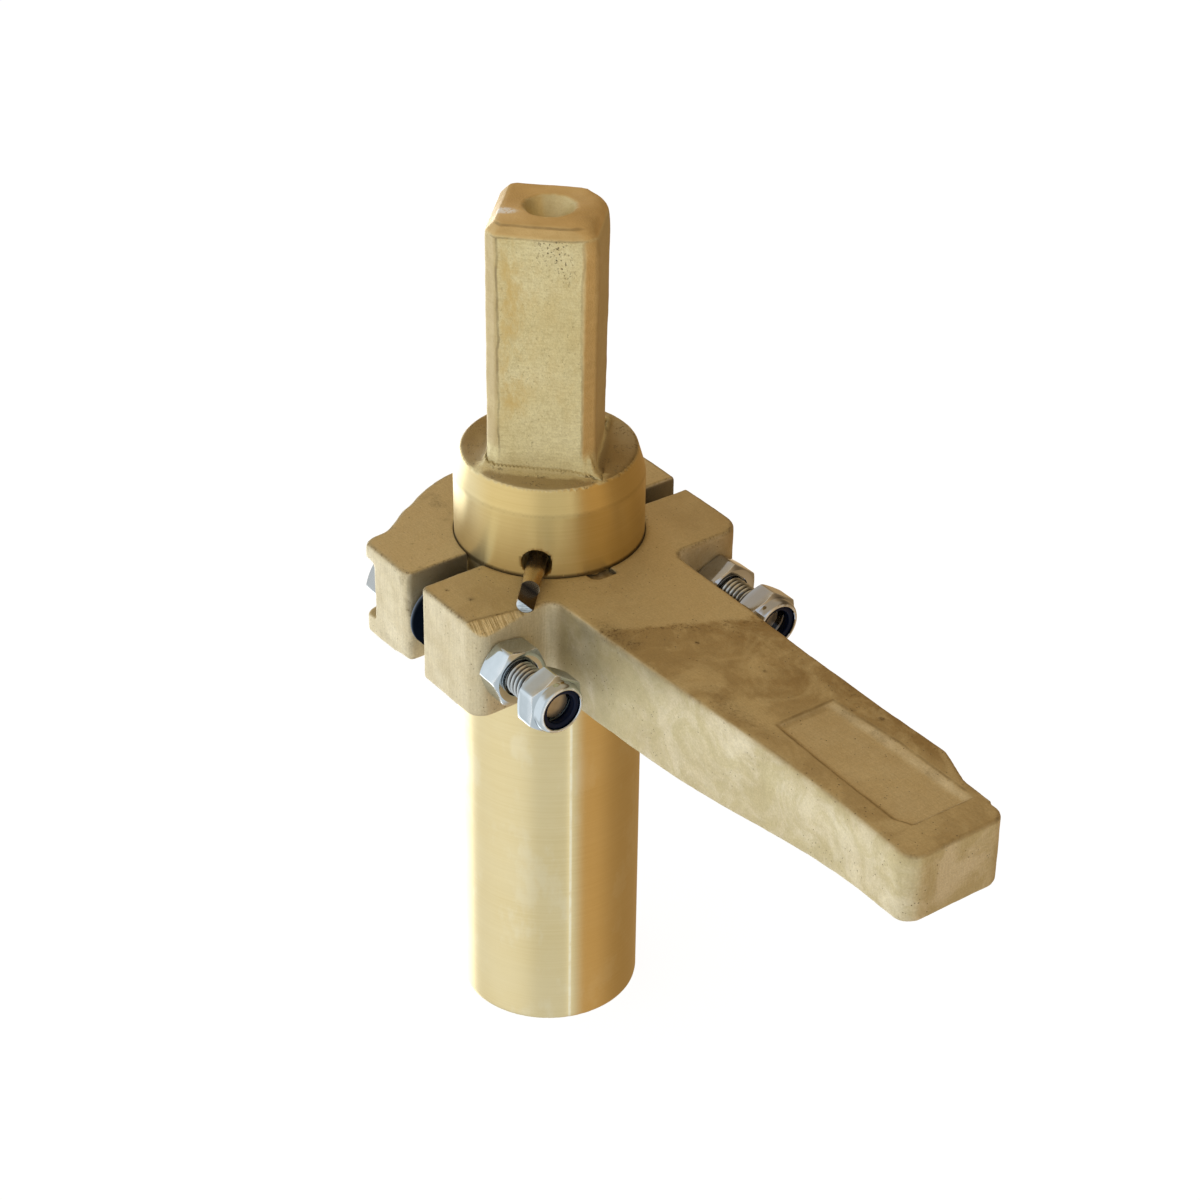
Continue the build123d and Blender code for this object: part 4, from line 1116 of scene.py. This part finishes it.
# ---------------------------------------------------------------------------
# floor, light
# ---------------------------------------------------------------------------
WINDOW = (1.18, 1.20, 1.18)
WINDOW_SIDE = (0.84, 0.86, 0.84)
WARM_FAR = (0.42, 0.27, 0.12)
WARM_BACK = (0.16, 0.105, 0.05)
LEFT_EDGE = (2.9, 3.0, 3.0)
WARM_LOW = (0.66, 0.44, 0.21)
WARM_HIGH = (0.78, 0.54, 0.28)
CEILING = (0.62, 0.485, 0.31)

fm = Mat("floor")
fm.set(color=(0.20, 0.205, 0.225), metal=0.0, rough=0.8, spec=0.0)
fm.p.inputs["Emission Color"].default_value = (0.985, 0.99, 1.0, 1.0)
fm.p.inputs["Emission Strength"].default_value = 0.92
floor = bpy.data.meshes.new("floor")
floor.from_pydata([(-6, -6, 0), (6, -6, 0), (6, 6, 0), (-6, 6, 0)], [], [(0, 1, 2, 3)])
floor = bpy.data.objects.new("floor", floor)
scene.collection.objects.link(floor)
floor.data.materials.append(fm.m)
floor.location.z = -0.0005
floor.visible_glossy = False
floor.visible_diffuse = False
floor.visible_shadow = False
floor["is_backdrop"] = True

# Room: a wide bright window at the left and in front, warm wood tones to the
# right, dim warm ceiling.
world = bpy.data.worlds.new("studio")
scene.world = world
world.use_nodes = True
wt = world.node_tree
wt.nodes.clear()


def wnode(kind, **kw):
    n = wt.nodes.new(kind)
    for k, v in kw.items():
        setattr(n, k, v)
    return n


def wfeed(socket, value):
    if isinstance(value, (int, float)):
        socket.default_value = value
    elif isinstance(value, (tuple, list)):
        socket.default_value = tuple(value) + (1.0,) * (len(socket.default_value) - len(value))
    else:
        wt.links.new(value, socket)


def wmath(op, a, b=0.0):
    n = wnode("ShaderNodeMath", operation=op)
    wfeed(n.inputs[0], a)
    wfeed(n.inputs[1], b)
    return n.outputs[0]


def wdot(azimuth, elevation):
    a, el = math.radians(azimuth), math.radians(elevation)
    n = wnode("ShaderNodeVectorMath", operation="DOT_PRODUCT")
    wfeed(n.inputs[0], way_out)
    n.inputs[1].default_value = (math.cos(a) * math.cos(el), math.sin(a) * math.cos(el), math.sin(el))
    return n.outputs["Value"]


def wstep(value, a, b):
    n = wnode("ShaderNodeMapRange", interpolation_type="SMOOTHSTEP")
    wfeed(n.inputs[0], value)
    n.inputs[1].default_value, n.inputs[2].default_value = a, b
    return n.outputs[0]


def wmix(fac, a, b):
    n = wnode("ShaderNodeMixRGB")
    wfeed(n.inputs[0], fac)
    wfeed(n.inputs[1], a)
    wfeed(n.inputs[2], b)
    return n.outputs[0]


way_out = wnode("ShaderNodeTexCoord").outputs["Generated"]
height = wdot(0, 90)
warm_side = wmix(wstep(height, -0.5, 0.5), WARM_LOW, WARM_HIGH)
far_tone = wmix(wstep(height, -0.1, 0.35), WARM_FAR, WARM_BACK)
warm_side = wmix(wstep(wdot(85, 0), 0.35, 0.85), warm_side, far_tone)
low = wmix(wstep(wdot(-99, 0), -0.27, -0.05), warm_side, WINDOW_SIDE)
low = wmix(wstep(wdot(-99, 0), 0.55, 0.78), low, WINDOW)
low = wmix(wstep(wdot(175, -26), 0.80, 0.92), low, LEFT_EDGE)
sky = wmix(wstep(height, 0.50, 0.85), low, CEILING)
bg = wnode("ShaderNodeBackground")
wfeed(bg.inputs[0], sky)
bg.inputs[1].default_value = 1.0
wo = wnode("ShaderNodeOutputWorld")
wt.links.new(bg.outputs[0], wo.inputs[0])


def area_light(name, azimuth, elevation, dist, sx, sy, power, color=(1, 1, 1)):
    """Soft panel looking at the clamp from a compass direction in the row frame."""
    aim = Vector((0.02, 0, 0.14))
    a, el = math.radians(azimuth), math.radians(elevation)
    way = Vector((math.cos(a) * math.cos(el), math.sin(a) * math.cos(el), math.sin(el)))
    d = bpy.data.lights.new(name, "AREA")
    d.shape = "RECTANGLE"
    d.size, d.size_y = sx, sy
    d.energy = power
    d.color = color
    o = bpy.data.objects.new(name, d)
    scene.collection.objects.link(o)
    o.location = aim + way * dist
    o.rotation_mode = "QUATERNION"
    o.rotation_quaternion = (-way).to_track_quat("-Z", "Y")
    return o


area_light("strip", -11.0, -20, 1.5, 0.012, 1.2, 0.32, (1.0, 1.0, 1.0))

scene.view_settings.view_transform = "Standard"
scene.view_settings.look = "None"

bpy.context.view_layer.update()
tris = {o.name: sum(len(p.vertices) - 2 for p in o.data.polygons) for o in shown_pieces()}
print("TRIS", sum(tris.values()), tris)
